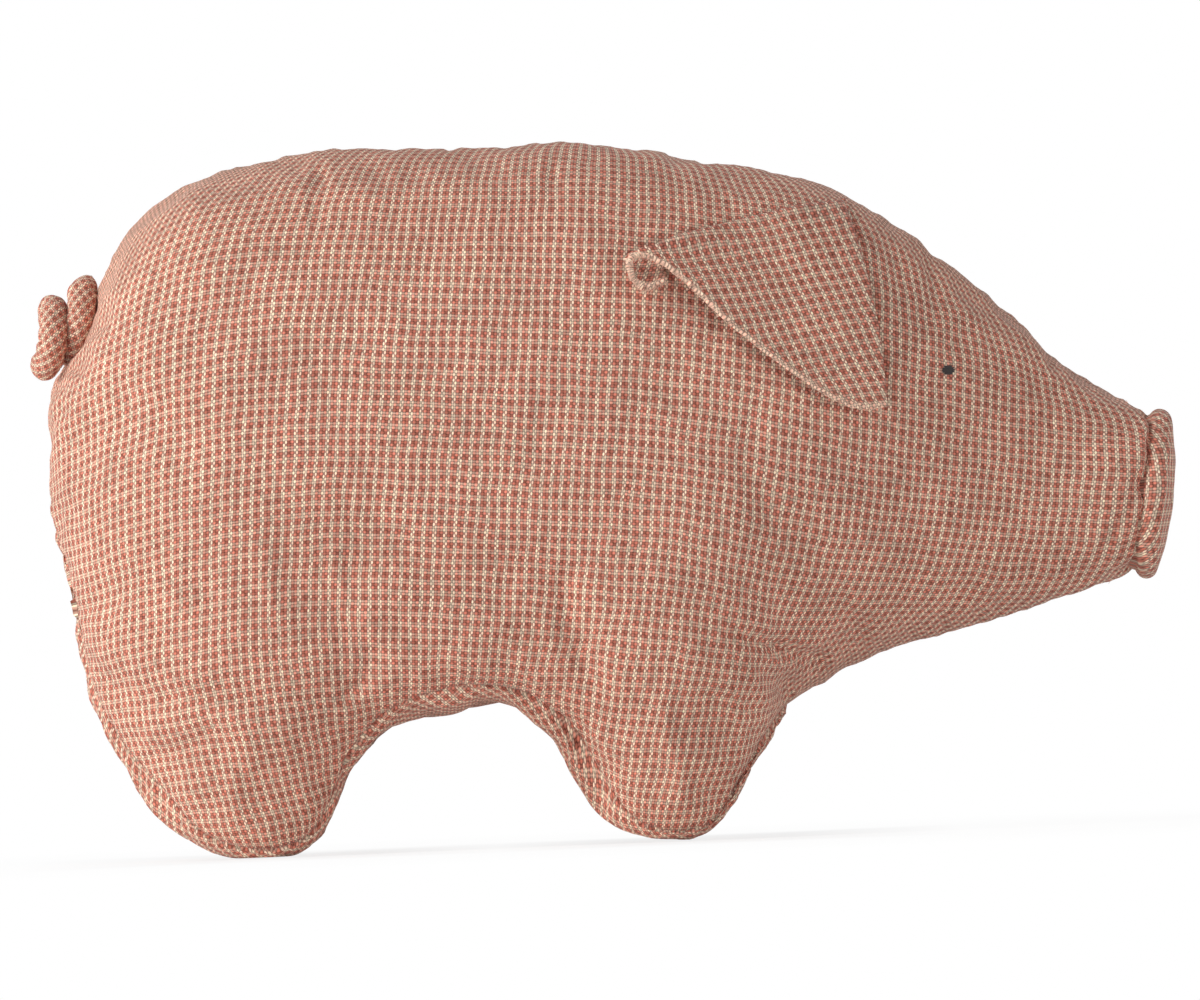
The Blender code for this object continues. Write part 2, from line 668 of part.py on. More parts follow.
def tail_line(root):
    """Centre line of the tail: a neck that bends into a corkscrew to the near side."""
    back = Vector((-math.cos(TAIL_SWING), -math.sin(TAIL_SWING), 0))
    side = Vector((math.sin(TAIL_SWING), -math.cos(TAIL_SWING), 0))
    up = Vector((0, 0, 1))
    places = [(-TAIL_ROOT_REACH_SHARE * TAIL_NECK_RADIUS, 0)]
    for step in range(TAIL_NECK_STEPS):
        share = step / TAIL_NECK_STEPS
        places.append((TAIL_NECK * share, TAIL_NECK_TURNS * share**2))
    for step in range(int(TAIL_TURN_STEPS * TAIL_TURNS) + 1):
        turned = step / TAIL_TURN_STEPS
        places.append((TAIL_NECK + TAIL_PITCH * turned, TAIL_NECK_TURNS + turned))
    points = []
    for along, turned in places:
        angle = turned * math.tau
        radius = TAIL_HELIX_RADIUS * (1 - TAIL_TIGHTEN_SHARE * turned)
        point = root + back * along - up * (TAIL_DROOP * turned + TAIL_HELIX_RADIUS)
        point += up * (radius * math.cos(angle))
        points.append(point + side * (radius * math.sin(angle)))
    return points


def tube(points, radius, neck_radius, sides):
    """Rings round a line: a rounded root, a narrow neck and a rounded end."""
    directions = []
    for i, point in enumerate(points):
        before, after = points[max(i - 1, 0)], points[min(i + 1, len(points) - 1)]
        directions.append((after - before).normalized())
    rings = []
    across = directions[0].cross(Vector((0, 0, 1))).normalized()
    last = len(points) - 1
    for i, (point, direction) in enumerate(zip(points, directions)):
        across = (across - direction * across.dot(direction)).normalized()
        other = direction.cross(across)
        grown = smooth((i - 1) / TAIL_NECK_STEPS)
        ended = math.sqrt(1 - max(0, (i - last + 2) / TAIL_END_STEPS) ** 2)
        size = (neck_radius + (radius - neck_radius) * grown) * ended
        if i == 0:
            size *= TAIL_ROOT_MOUTH_SHARE
        ring = []
        for side in range(sides):
            angle = side / sides * math.tau
            ring.append(point + (across * math.cos(angle) + other * math.sin(angle)) * size)
        rings.append(ring)
    return rings, directions


def tail(skin):
    """The corkscrew tail: a cloth tube round a filling, hung on a wagging root."""
    start = Vector((-BODY_LENGTH, 0, TAIL_ROOT_HEIGHT_SHARE * BODY_HEIGHT))
    hit, normal = skin.hit(start, Vector((1, 0, 0)))
    root = hit + normal * (TAIL_NECK_RADIUS + SEAT_GAP)
    line = tail_line(root)
    rings, directions = tube(line, TAIL_RADIUS, TAIL_NECK_RADIUS, TAIL_SIDES)
    end = line[-1] + directions[-1] * (TAIL_RADIUS / 3)
    form = loft(rings, [RIGHT] * TAIL_SIDES, last=end)
    hinge = bpy.data.objects.new("tail_hinge", None)
    hinge.location = root
    bpy.context.scene.collection.objects.link(hinge)
    bpy.context.view_layer.update()
    filling = inset_form(form, CLOTH + STUFFING_GAP)
    for made in (
        add("tail_tube", cloth_piece(form, RIGHT), (CLOTH_COLOUR, 0.95)),
        add("tail_filling", filling, (STUFFING_COLOUR, 1.0)),
    ):
        made.parent = hinge
        made.matrix_parent_inverse = hinge.matrix_world.inverted()
    form.free()
    points = np.array(line)
    gaps = np.linalg.norm(points[:, None] - points[None], axis=2) - 2 * TAIL_RADIUS
    steps = np.abs(np.subtract.outer(range(len(line)), range(len(line))))
    apart = steps > TAIL_TURN_STEPS / 2
    print(f"least gap between the tail's turns: {gaps[apart].min() * 1000:.2f} mm")
    print("tail axis at", tuple(root))


def centre_on_origin():
    """Moves the whole pig so that the origin is under the middle of its box."""
    bpy.context.view_layer.update()
    corners = []
    for made in bpy.data.objects:
        if made.type == "MESH" and not made.hide_render:
            corners += [made.matrix_world @ Vector(corner) for corner in made.bound_box]
    low = np.array(corners).min(axis=0)
    high = np.array(corners).max(axis=0)
    shift = Vector((-(low[0] + high[0]) / 2, -(low[1] + high[1]) / 2, -low[2]))
    for made in bpy.data.objects:
        if made.parent is None:
            made.location += shift
    print("moved by", tuple(shift), "box", tuple(high - low))


def main():
    for made in list(bpy.data.objects):
        bpy.data.objects.remove(made)
    form = body_form()
    skin = Skin(form)
    body_cloth(form)
    stuffing(form)
    snout()
    eyes(skin)
    ears(skin)
    tail(skin)
    form.free()
    centre_on_origin()


main()
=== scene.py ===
# %% [markdown]
# # Plush pig of checked cloth
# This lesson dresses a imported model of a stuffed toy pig. The model is the fixed
# frame: it says where each piece is and how the ears and the tail move. Here each
# piece gets its soft form, its seams and its woven cloth.

import math

import bmesh
import bpy
import numpy as np
from mathutils import Matrix, Vector, noise
from mathutils.bvhtree import BVHTree
from mathutils.kdtree import KDTree


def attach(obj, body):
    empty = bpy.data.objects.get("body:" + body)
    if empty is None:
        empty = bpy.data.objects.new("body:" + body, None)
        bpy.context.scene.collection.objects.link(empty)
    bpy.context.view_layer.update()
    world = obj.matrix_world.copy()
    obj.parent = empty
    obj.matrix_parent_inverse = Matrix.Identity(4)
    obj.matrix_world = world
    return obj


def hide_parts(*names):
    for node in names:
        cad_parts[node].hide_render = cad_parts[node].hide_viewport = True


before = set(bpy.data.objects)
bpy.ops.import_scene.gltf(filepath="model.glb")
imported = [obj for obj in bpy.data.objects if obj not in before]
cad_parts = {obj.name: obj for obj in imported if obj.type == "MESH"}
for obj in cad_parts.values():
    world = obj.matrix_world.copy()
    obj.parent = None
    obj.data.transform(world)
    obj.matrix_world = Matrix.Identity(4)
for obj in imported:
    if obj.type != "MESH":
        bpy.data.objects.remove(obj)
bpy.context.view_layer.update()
MM = 0.001
print("nodes:", sorted(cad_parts))

# %% [markdown]
# ## Camera, light and floor
# A long lens at the toy's own height sees it without perspective, so the side view
# is almost a drawing. The light comes from a soft lamp at the upper left, one low and
# near on the same side that brightens the rump, and one low at the right that reaches
# the head. The camera sees most of the floor and the whole world as plain white. That
# white lights nothing, and round the feet the floor keeps more of the toy's shadow.

# %% Camera
CAMERA_DISTANCE = 12.0
VIEW_WIDTH = 0.4181
camera = bpy.data.objects.new("camera", bpy.data.cameras.new("camera"))
camera.location = (-0.0016, -CAMERA_DISTANCE, 0.1196)
camera.rotation_euler = (math.radians(90), math.radians(2.34), 0)
camera.data.sensor_width = 36
camera.data.lens = 36 * CAMERA_DISTANCE / VIEW_WIDTH
bpy.context.scene.collection.objects.link(camera)
bpy.context.scene.camera = camera
bpy.context.scene.view_settings.view_transform = "Standard"
print("lens:", round(camera.data.lens, 1), "mm")


# %% [markdown]
# ## A short way to write shaders
# A material is a network of nodes, and its maths reads best as plain expressions.
# `Wire` wraps one socket, so that `a * 2 + b` adds the Math nodes by itself.
# `Look` holds one material and makes every other kind of node.

# %% Shader helpers
class Wire:
    """A socket of a material, on which + - * / and < add Math nodes."""

    def __init__(self, tree, socket):
        self.tree = tree
        self.socket = socket

    def maths(self, operation, *values):
        node = self.tree.nodes.new("ShaderNodeMath")
        node.operation = operation
        for slot, value in zip(node.inputs, values):
            connect(self.tree, slot, value)
        return Wire(self.tree, node.outputs[0])

    def __add__(self, other):
        return self.maths("ADD", self, other)

    def __radd__(self, other):
        return self.maths("ADD", other, self)

    def __sub__(self, other):
        return self.maths("SUBTRACT", self, other)

    def __rsub__(self, other):
        return self.maths("SUBTRACT", other, self)

    def __mul__(self, other):
        return self.maths("MULTIPLY", self, other)

    def __rmul__(self, other):
        return self.maths("MULTIPLY", other, self)

    def __truediv__(self, other):
        return self.maths("DIVIDE", self, other)

    def __lt__(self, other):
        return self.maths("LESS_THAN", self, other)

    def clamped(self):
        return self.maths("MINIMUM", self.maths("MAXIMUM", self, 0), 1)


def connect(tree, slot, value):
    """Puts a number, a colour or a Wire into a socket."""
    if isinstance(value, Wire):
        tree.links.new(value.socket, slot)
    else:
        slot.default_value = value


class Look:
    """One material: a Principled shader and the nodes that feed it."""

    def __init__(self, name):
        self.material = bpy.data.materials.new(name)
        self.material.use_nodes = True
        self.tree = self.material.node_tree
        self.shader = self.tree.nodes["Principled BSDF"]
        self.output = self.tree.nodes["Material Output"]

    def node(self, kind, settings=(), output=0, **values):
        made = self.tree.nodes.new(kind)
        for name, setting in dict(settings).items():
            setattr(made, name, setting)
        for name, value in values.items():
            slots = [slot for slot in made.inputs if slot.identifier == name]
            slot = slots[0] if slots else made.inputs[name.replace("_", " ")]
            connect(self.tree, slot, value)
        return Wire(self.tree, made.outputs[output])

    def blend(self, factor, first, second):
        """A colour between two colours."""
        kind = {"data_type": "RGBA"}
        values = {"Factor_Float": factor, "A_Color": first, "B_Color": second}
        return self.node("ShaderNodeMix", kind, output=2, **values)

    def tint(self, colour, strength):
        """A colour made lighter or darker by a number."""
        return self.node(
            "ShaderNodeVectorMath", {"operation": "SCALE"}, Vector=colour, Scale=strength
        )

    def shade(self, **values):
        for name, value in values.items():
            connect(self.tree, self.shader.inputs[name.replace("_", " ")], value)


# %% World
def seen_white(tree, lit, output, share):
    """Shows a share of a surface, or of the world, as white to the camera and mirrors."""
    path = tree.nodes.new("ShaderNodeLightPath")
    seen = Wire(tree, path.outputs["Is Camera Ray"])
    for name in ("Is Glossy Ray", "Is Transmission Ray"):
        seen = seen.maths("MAXIMUM", seen, Wire(tree, path.outputs[name]))
    kind = "ShaderNodeBackground" if output.bl_idname.endswith("World") else "ShaderNodeEmission"
    white = tree.nodes.new(kind)
    white.inputs["Color"].default_value = (1, 1, 1, 1)
    white.inputs["Strength"].default_value = 1
    mix = tree.nodes.new("ShaderNodeMixShader")
    connect(tree, mix.inputs[0], seen * share)
    tree.links.new(lit, mix.inputs[1])
    tree.links.new(white.outputs[0], mix.inputs[2])
    tree.links.new(mix.outputs[0], output.inputs["Surface"])


world = bpy.data.worlds.new("studio")
world.use_nodes = True
bpy.context.scene.world = world
sky = world.node_tree.nodes["Background"]
sky.inputs["Color"].default_value = (0.93, 0.96, 1.0, 1)
sky.inputs["Strength"].default_value = 0.34
seen_white(world.node_tree, sky.outputs[0], world.node_tree.nodes["World Output"], 1)
print("sky strength:", round(sky.inputs["Strength"].default_value, 2))

# %% Floor
FLOOR_REACH = 6.0
FEET_MIDDLE, FEET_REACH, FEET_HALF_WIDTH = -0.043, 0.072, 0.08
plane = bmesh.new()
bmesh.ops.create_grid(plane, x_segments=1, y_segments=1, size=FLOOR_REACH)
floor_mesh = bpy.data.meshes.new("floor")
plane.to_mesh(floor_mesh)
floor = bpy.data.objects.new("floor", floor_mesh)
bpy.context.scene.collection.objects.link(floor)
paper = Look("paper")
paper.shade(Base_Color=(0.95, 0.95, 0.95, 1), Roughness=0.9)
place = paper.node("ShaderNodeTexCoord", output=3)
away = paper.node("ShaderNodeVectorMath", {"operation": "LENGTH"}, output=1, Vector=place)
along, across = [paper.node("ShaderNodeSeparateXYZ", output=side, Vector=place) for side in (0, 1)]
off_foot = along.maths("ABSOLUTE", along.maths("ABSOLUTE", along - FEET_MIDDLE) - FEET_REACH)
off_foot = off_foot.maths("MAXIMUM", off_foot, across.maths("ABSOLUTE", across) - FEET_HALF_WIDTH)
far_white = ((off_foot - 0.03) * 16).clamped() * 0.16 + 0.8
far_white = far_white + (1 - far_white) * ((away - 0.25) * 4).clamped()
seen_white(paper.tree, paper.shader.outputs[0], paper.output, far_white)
floor_mesh.materials.append(paper.material)
print("floor width:", 2 * FLOOR_REACH, "m")


# %% Lamps
def lamp(name, place, size, power, colour):
    """A square soft lamp that faces the toy."""
    data = bpy.data.lights.new(name, "AREA")
    data.size = size
    data.energy = power
    data.color = colour
    made = bpy.data.objects.new(name, data)
    made.location = place
    made.rotation_euler = (Vector((0, 0, 0.1)) - Vector(place)).to_track_quat("-Z", "Y").to_euler()
    bpy.context.scene.collection.objects.link(made)


lamp("key", (-1.7, -0.8, 1.9), 0.5, 25, (1.0, 0.985, 0.96))
lamp("low_key", (-1.2, -0.6, 0.05), 0.35, 12, (1.0, 0.985, 0.965))
lamp("front", (1.8, -1.6, 0.08), 0.8, 17, (1.0, 0.99, 0.98))
print("lamps:", [light.name for light in bpy.data.lights])

# %% [markdown]
# ## The woven check
# The cloth is a coarse handwoven one: two cream yarns, then two brick-red ones,
# in both directions. The lengthwise yarns are thick and soft, so each one shows as
# a column of long stitches; the crosswise yarns are thin lines between them. A
# printed picture would blur when seen close, so the shader counts the yarns: it
# asks which lengthwise and which crosswise yarn passes here, and which of the two
# is on top. By yarn height the colour is darkened in the gaps and lightened on the
# tops, as painted shade and painted highlight. The cloth's own flat millimetres come from each
# piece's UV map.

# %% The cloth material
CHECK_WIDTH = 3.4
CHECK_HEIGHT = 3.7
YARNS = 4
CREAM_YARNS = 2
NARROW_CREAM = 0.22
RED = (0.740, 0.260, 0.182, 1)
DEEP_RED = (0.470, 0.125, 0.080, 1)
CREAM = (1.000, 0.765, 0.585, 1)
DULL_CREAM = (0.900, 0.700, 0.515, 1)
PEACH = (1.000, 0.630, 0.475, 1)
WORN = (1.000, 0.690, 0.520, 1)


def flat_noise(look, place, scale, detail=0.0):
    """Noise over the flat cloth."""
    kind = {"noise_dimensions": "2D"}
    return look.node("ShaderNodeTexNoise", kind, Vector=place, Scale=scale, Detail=detail)


def cloth(name, mapped=None):
    """The woven check on a UV map in millimetres of flat cloth."""
    look = Look(name)
    flat = mapped(look) if mapped else look.node("ShaderNodeUVMap", {"uv_map": "cloth"})
    split = look.tree.nodes.new("ShaderNodeSeparateXYZ")
    connect(look.tree, split.inputs[0], flat)
    across, up = Wire(look.tree, split.outputs[0]), Wire(look.tree, split.outputs[1])
    x = (across + (flat_noise(look, flat, 0.09) - 0.5) * 0.8) * (YARNS / CHECK_WIDTH)
    y = (up + (flat_noise(look, flat, 0.07) - 0.5) * 0.8) * (YARNS / CHECK_HEIGHT)
    x = x - x.maths("COSINE", x * (math.tau / YARNS)) * NARROW_CREAM
    i, j = x.maths("FLOOR", x), y.maths("FLOOR", y)
    fx, fy = x - i - 0.5, y - j - 0.5
    side = 1 - (i + j).maths("FLOORED_MODULO", i + j, 2) * 2
    cream_warp = i.maths("FLOORED_MODULO", i, YARNS) < CREAM_YARNS - 0.5
    cream_weft = j.maths("FLOORED_MODULO", j, YARNS) < CREAM_YARNS - 0.5
    slub = look.node("ShaderNodeCombineXYZ", X=i * 3.7, Y=y * 0.35)
    slub = look.node("ShaderNodeTexNoise", Vector=slub, Scale=1.0, Detail=1.0)
    warp_up = side * fy.maths("COSINE", fy * math.pi) * 0.5 + slub * 0.6 + 0.03 - fx * fx * 2.6
    weft_up = side * fx.maths("COSINE", fx * math.pi) * -0.35 - fy * fy * 5.0
    warp_on_top = ((warp_up - weft_up) * 0.34 + 0.46 - cream_weft * 0.14).clamped()
    height = warp_up.maths("MAXIMUM", warp_up, weft_up)
    uneven = flat_noise(look, flat, 0.55, 2.0)
    red = look.blend(uneven, DEEP_RED, RED)
    cream = look.blend(cream_warp, PEACH, look.blend(cream_weft, CREAM, DULL_CREAM))
    is_cream = cream_weft + (cream_warp - cream_weft) * warp_on_top
    colour = look.blend(is_cream, red, cream)
    wear = look.node("ShaderNodeAttribute", {"attribute_name": "wear"}, output=2)
    colour = look.blend(wear * (flat_noise(look, flat, 0.8, 2.0) * 1.2 + 0.1), colour, WORN)
    stitch = look.node("ShaderNodeCombineXYZ", X=i, Y=j)
    stitch = look.node("ShaderNodeTexWhiteNoise", {"noise_dimensions": "2D"}, Vector=stitch)
    spun = flat_noise(look, flat, 3.2, 2.0)
    worn = flat_noise(look, flat, 0.045, 2.0)
    # Painted shade and highlight: by height the colour is darker in the gaps between yarns and
    # lighter on their tops; the noises add random tone per yarn and over the cloth.
    painted_shade_highlight_tone = (height * 0.95 + 0.54) * (stitch * 0.46 + 0.77)
    painted_shade_highlight_tone = painted_shade_highlight_tone * (spun * 0.4 + 0.8) * (worn * 0.3 + 0.85)
    colour = look.tint(colour, painted_shade_highlight_tone)
    bump = look.node("ShaderNodeBump", Strength=0.5, Distance=0.00016, Height=height + spun * 0.3)
    look.shade(Base_Color=colour, Roughness=0.95, Normal=bump)
    look.shade(Specular_IOR_Level=0.2, Sheen_Weight=0.12, Sheen_Roughness=0.5)
    return look.material


checked_cloth = cloth("checked_cloth")
print("cloth nodes:", len(checked_cloth.node_tree.nodes))

# %% [markdown]
# ## The skin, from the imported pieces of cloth
# On the real toy the skin is two side pieces and a belly gusset, sewn together and
# stuffed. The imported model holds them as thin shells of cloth. Here only their
# outer sheets are wanted, joined along the seams, because stuffing swells the whole
# bag at once. Each face remembers which piece of cloth it belongs to.

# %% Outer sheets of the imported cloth
PANELS = ("right_side_panel", "belly_gusset", "left_side_panel")
WADS = [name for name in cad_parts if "stuffing" in name]


def cad_mesh(*nodes):
    """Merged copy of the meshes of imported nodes."""
    mesh = bmesh.new()
    for node in nodes:
        mesh.from_mesh(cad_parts[node].data)
    bmesh.ops.remove_doubles(mesh, verts=mesh.verts, dist=0.01 * MM)
    return mesh


def outer_sheet(node, core, depth=1.0 * MM):
    """The faces of a shell of cloth that look away from what it holds."""
    mesh = cad_mesh(node)
    mesh.normal_update()
    inner = []
    for face in mesh.faces:
        centre = face.calc_center_median()
        nearest, _, _, distance = core.find_nearest(centre)
        away, least = centre - nearest, 0.5
        if distance > 1.7 * MM:
            away, least = centre - Vector((centre.x, 0, 0.12)), 0
        if distance < depth or face.normal.dot(away.normalized()) < least:
            inner.append(face)
    bmesh.ops.delete(mesh, geom=inner, context="FACES")
    return mesh


core_tree = BVHTree.FromBMesh(cad_mesh(*WADS))
skin = bmesh.new()
for index, node in enumerate(PANELS):
    sheet = outer_sheet(node, core_tree)
    for face in sheet.faces:
        face.material_index = index
    holder = bpy.data.meshes.new(node + "_sheet")
    sheet.to_mesh(holder)
    sheet.free()
    skin.from_mesh(holder)
    bpy.data.meshes.remove(holder)
rims = [vertex for vertex in skin.verts if vertex.is_boundary]
bmesh.ops.remove_doubles(skin, verts=rims, dist=1.4 * MM)
bmesh.ops.dissolve_degenerate(skin, edges=skin.edges, dist=0.05 * MM)
bmesh.ops.join_triangles(
    skin, faces=skin.faces, cmp_materials=True,
    angle_face_threshold=math.radians(60), angle_shape_threshold=math.radians(120),
)
open_edges = [edge for edge in skin.edges if edge.is_boundary]
print("skin faces:", len(skin.faces), "open edges:", len(open_edges))
print("open edges in front:", sum(edge.verts[0].co.x > 0.17 for edge in open_edges))

# %% Helpers for meshes
def as_object(name, mesh, *looks):
    """An object at the origin that holds a finished bmesh."""
    data = bpy.data.meshes.new(name)
    mesh.to_mesh(data)
    mesh.free()
    data.shade_smooth()
    for look in looks:
        data.materials.append(look)
    made = bpy.data.objects.new(name, data)
    bpy.context.scene.collection.objects.link(made)
    return made


def read_back(made, modifiers=True):
    """The bmesh of an object as its modifiers leave it; the object is removed."""
    graph = bpy.context.evaluated_depsgraph_get()
    mesh = bmesh.new()
    mesh.from_mesh(made.evaluated_get(graph).to_mesh() if modifiers else made.data)
    data = made.data
    bpy.data.objects.remove(made)
    bpy.data.meshes.remove(data)
    return mesh


def divided(mesh, levels):
    """The mesh after so many rounds of smooth subdivision."""
    made = as_object("dividing", mesh)
    modifier = made.modifiers.new("divide", "SUBSURF")
    modifier.levels = modifier.render_levels = levels
    modifier.boundary_smooth = "PRESERVE_CORNERS"
    bpy.context.view_layer.update()
    return read_back(made)


def joined(parts):
    """One bmesh of many, which are freed."""
    whole = bmesh.new()
    for part in parts:
        holder = bpy.data.meshes.new("part")
        part.to_mesh(holder)
        part.free()
        whole.from_mesh(holder)
        bpy.data.meshes.remove(holder)
    return whole


def tube(points, sides, thickness):
    """A closed tube along points in millimetres; thickness(step, angle) is its radius."""
    last = len(points) - 1
    mesh = bmesh.new()
    bmesh.ops.create_cone(mesh, cap_ends=True, segments=sides, radius1=1, radius2=1, depth=1)
    uprights = [edge for edge in mesh.edges if abs(edge.verts[0].co.z - edge.verts[1].co.z) > 0.5]
    bmesh.ops.subdivide_edges(mesh, edges=uprights, cuts=last - 1)
    points = [Vector(point) for point in points]
    ways = [
        (points[min(step + 1, last)] - points[max(step - 1, 0)]).normalized()
        for step in range(last + 1)
    ]
    across = [ways[0].orthogonal().normalized()]
    for way in ways[1:]:
        across.append((across[-1] - way * across[-1].dot(way)).normalized())
    spots = {}
    for vertex in mesh.verts:
        step = round((vertex.co.z + 0.5) * last)
        angle = math.atan2(vertex.co.y, vertex.co.x)
        out = across[step] * math.cos(angle) + ways[step].cross(across[step]) * math.sin(angle)
        vertex.co = (points[step] + out * thickness(step, angle)) * MM
        spots[vertex] = (step, angle)
    bmesh.ops.recalc_face_normals(mesh, faces=mesh.faces)
    return mesh, spots


def seam_edges(mesh):
    """Edges where two pieces of cloth meet."""
    return [
        edge for edge in mesh.edges
        if len({face.material_index for face in edge.link_faces}) > 1
    ]


# %% [markdown]
# ## A smooth, closed skin
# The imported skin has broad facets. Its open front end is closed by one face, and
# two rounds of smooth subdivision round it. The seams are given a crease first, so
# that the keel under the chin and the edge of the gusset keep their place.

# %% Close and divide the skin
form = skin.copy()
nose_end = bmesh.ops.holes_fill(skin, edges=[edge for edge in skin.edges if edge.is_boundary])
for face in nose_end["faces"]:
    face.material_index = len(PANELS)
crease = skin.edges.layers.float.new("crease_edge")
for edge in seam_edges(skin):
    edge[crease] = 0.7
skin = divided(skin, 2)
skin.edges.layers.float.remove(skin.edges.layers.float["crease_edge"])
print("skin faces:", len(skin.faces))

# %% [markdown]
# ## Laying the weave on the cloth
# Yarns can't stretch, but the angle between them can give, so a woven cloth is laid
# by two directions at each place: the way its rows run and the way its columns run.
# From these the flat millimetres of the cloth follow by least squares, solved here
# with conjugate gradients. The directions are listed down the body: the rows
# sink towards both ends, because the flank is cut in one piece and bent round.

# %% Solve the flat place of each point of the cloth
def flat_places(points, triangles, rows, columns):
    """Flat (u, v) of each point, from the tangents of rows and columns per triangle."""
    corners = points[triangles]
    sides = np.roll(corners, -2, axis=1) - np.roll(corners, -1, axis=1)
    normals = np.cross(corners[:, 1] - corners[:, 0], corners[:, 2] - corners[:, 0])
    doubled = np.linalg.norm(normals, axis=1)
    doubled = np.maximum(doubled, 1e-12)
    normals /= doubled[:, None]
    hats = np.cross(normals[:, None, :], sides) / doubled[:, None, None]
    areas = doubled / 2
    count = len(points)

    def gathered(field):
        values = np.einsum("tcx,tx->tc", hats, field) * areas[:, None]
        return np.bincount(triangles.ravel(), values.ravel(), count)

    def laplace(values):
        return gathered(np.einsum("tc,tcx->tx", values[triangles], hats))

    weights = np.einsum("tcx,tcx->tc", hats, hats) * areas[:, None]
    diagonal = np.maximum(np.bincount(triangles.ravel(), weights.ravel(), count), 1e-12)
    flat = []
    for way, other in ((rows, columns), (columns, rows)):
        across = np.cross(normals, other)
        lean = np.einsum("tx,tx->t", across, way)
        gradient = across / (np.sign(lean) * np.maximum(np.abs(lean), 0.5))[:, None]
        target = gathered(gradient)
        values = np.zeros(count)
        rest = target.copy()
        scaled = rest / diagonal
        step = scaled.copy()
        energy = rest @ scaled
        for _ in range(900):
            spread = laplace(step)
            size = energy / max(step @ spread, 1e-30)
            values += size * step
            rest -= size * spread
            scaled = rest / diagonal
            following = rest @ scaled
            if following < 1e-14 * max(target @ (target / diagonal), 1e-30):
                break
            step = scaled + step * (following / energy)
            energy = following
        flat.append(values - values.mean())
    return np.stack(flat, 1)


def tangents(normals, ways):
    """Unit directions in the surface that look like the given ways."""
    laid = ways - normals * np.einsum("tx,tx->t", normals, ways)[:, None]
    return laid / np.maximum(np.linalg.norm(laid, axis=1), 1e-9)[:, None]


def lay_cloth(mesh, ways, origin, label=0):
    """Fills the UV map "cloth" in flat millimetres; origin is the point where it is 0."""
    mesh.verts.index_update()
    mesh.normal_update()
    threes = [
        three for three in mesh.calc_loop_triangles() if three[0].face.material_index == label
    ]
    corners = np.array([[loop.vert.index for loop in three] for three in threes])
    used, triangles = np.unique(corners, return_inverse=True)
    triangles = triangles.reshape(-1, 3)
    mesh.verts.ensure_lookup_table()
    points = np.array([mesh.verts[index].co for index in used]) / MM
    normals = np.cross(
        points[triangles[:, 1]] - points[triangles[:, 0]],
        points[triangles[:, 2]] - points[triangles[:, 0]],
    )
    normals /= np.maximum(np.linalg.norm(normals, axis=1), 1e-9)[:, None]
    centres = points[triangles].mean(axis=1)
    rows, columns = ways(centres, normals)
    flat = flat_places(points, triangles, rows, columns)
    zero = np.linalg.norm(points - np.array(origin) / MM, axis=1).argmin()
    flat -= flat[zero]
    places = dict(zip(used, flat))
    layer = mesh.loops.layers.uv.get("cloth") or mesh.loops.layers.uv.new("cloth")
    for face in mesh.faces:
        if face.material_index == label:
            for loop in face.loops:
                loop[layer].uv = places[loop.vert.index]
    print("flat size", (flat.max(axis=0) - flat.min(axis=0)).round(), "mm")


ROW_FALL = (
    (-182, -9), (-172, -12), (-148, -9), (-123, -5), (-78, 4), (0, 5.5),
    (47, 12), (68, 13), (110, 12), (131, 11), (152, 9), (169, 3),
)
LOW_ROW_FALL = (
    (-182, -9), (-148, -9), (-78, 4), (-10, 3), (20, 0), (50, 1), (75, 9), (110, 12), (169, 3),
)
COLUMN_LEAN = ((-182, 5), (0, 6), (110, 6), (152, 3), (169, 1))
LOW_COLUMN_LEAN = (
    (-182, -16), (-100, -14), (-60, 0), (-20, 16), (0, 14),
    (45, 14), (60, 22), (110, 18), (152, 4), (169, 0),
)


def side_ways(centres, normals):
    """Rows and columns of a side piece, as they run in the side view."""
    x, z = centres[:, 0], centres[:, 2]
    fall = np.radians(np.interp(x, *np.array(ROW_FALL).T))
    high = np.interp(x, *np.array(COLUMN_LEAN).T)
    low = np.interp(x, *np.array(LOW_COLUMN_LEAN).T)
    floor_of_lean = np.where(x > 60, 90, 45)
    share = np.clip((z - floor_of_lean + 10) / 45, 0, 1)
    lean = np.radians(low + (high - low) * share)
    low_fall = np.radians(np.interp(x, *np.array(LOW_ROW_FALL).T))
    fall = low_fall + (fall - low_fall) * share
    zero = np.zeros_like(fall)
    columns = tangents(normals, np.stack([np.sin(lean), zero, np.cos(lean)], 1))
    wanted = np.stack([np.cos(fall), zero, -np.sin(fall)], 1)
    facing = np.einsum("tx,tx->t", normals, wanted)[:, None]
    round_the_end = np.cross(columns, normals) * -np.sign(centres[:, 1:2])
    rows = tangents(normals, wanted - normals * facing + round_the_end * facing ** 4)
    return rows, columns


def gusset_ways(centres, normals):
    """The gusset runs down the rump and along the belly, its cloth cut askew."""
    x, y, z = normals.T
    along = tangents(normals, np.stack([np.abs(y) - z, np.zeros_like(x), x], 1))
    rows = along + np.cross(normals, along) * 0.8
    rows /= np.linalg.norm(rows, axis=1)[:, None]
    return rows, np.cross(normals, rows)


# %% Lay the cloth of the body
lay_cloth(skin, side_ways, (0, -0.06, 0.13), 0)
lay_cloth(skin, gusset_ways, (0, 0, 0.05), 1)
lay_cloth(skin, side_ways, (0, 0.06, 0.13), 2)

# %% [markdown]
# ## Stuffing the bag
# A stuffed toy gets its round form from the filling that presses the cloth outwards
# and from the seams, which give less than the cloth between them. So the skin is
# divided finely, its seams are held, and Blender's cloth is blown up a little from
# inside. No point may move further than a few millimetres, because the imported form
# is already right as a whole.

# %% Blow the bag up from inside
SWELL = 2.0 * MM


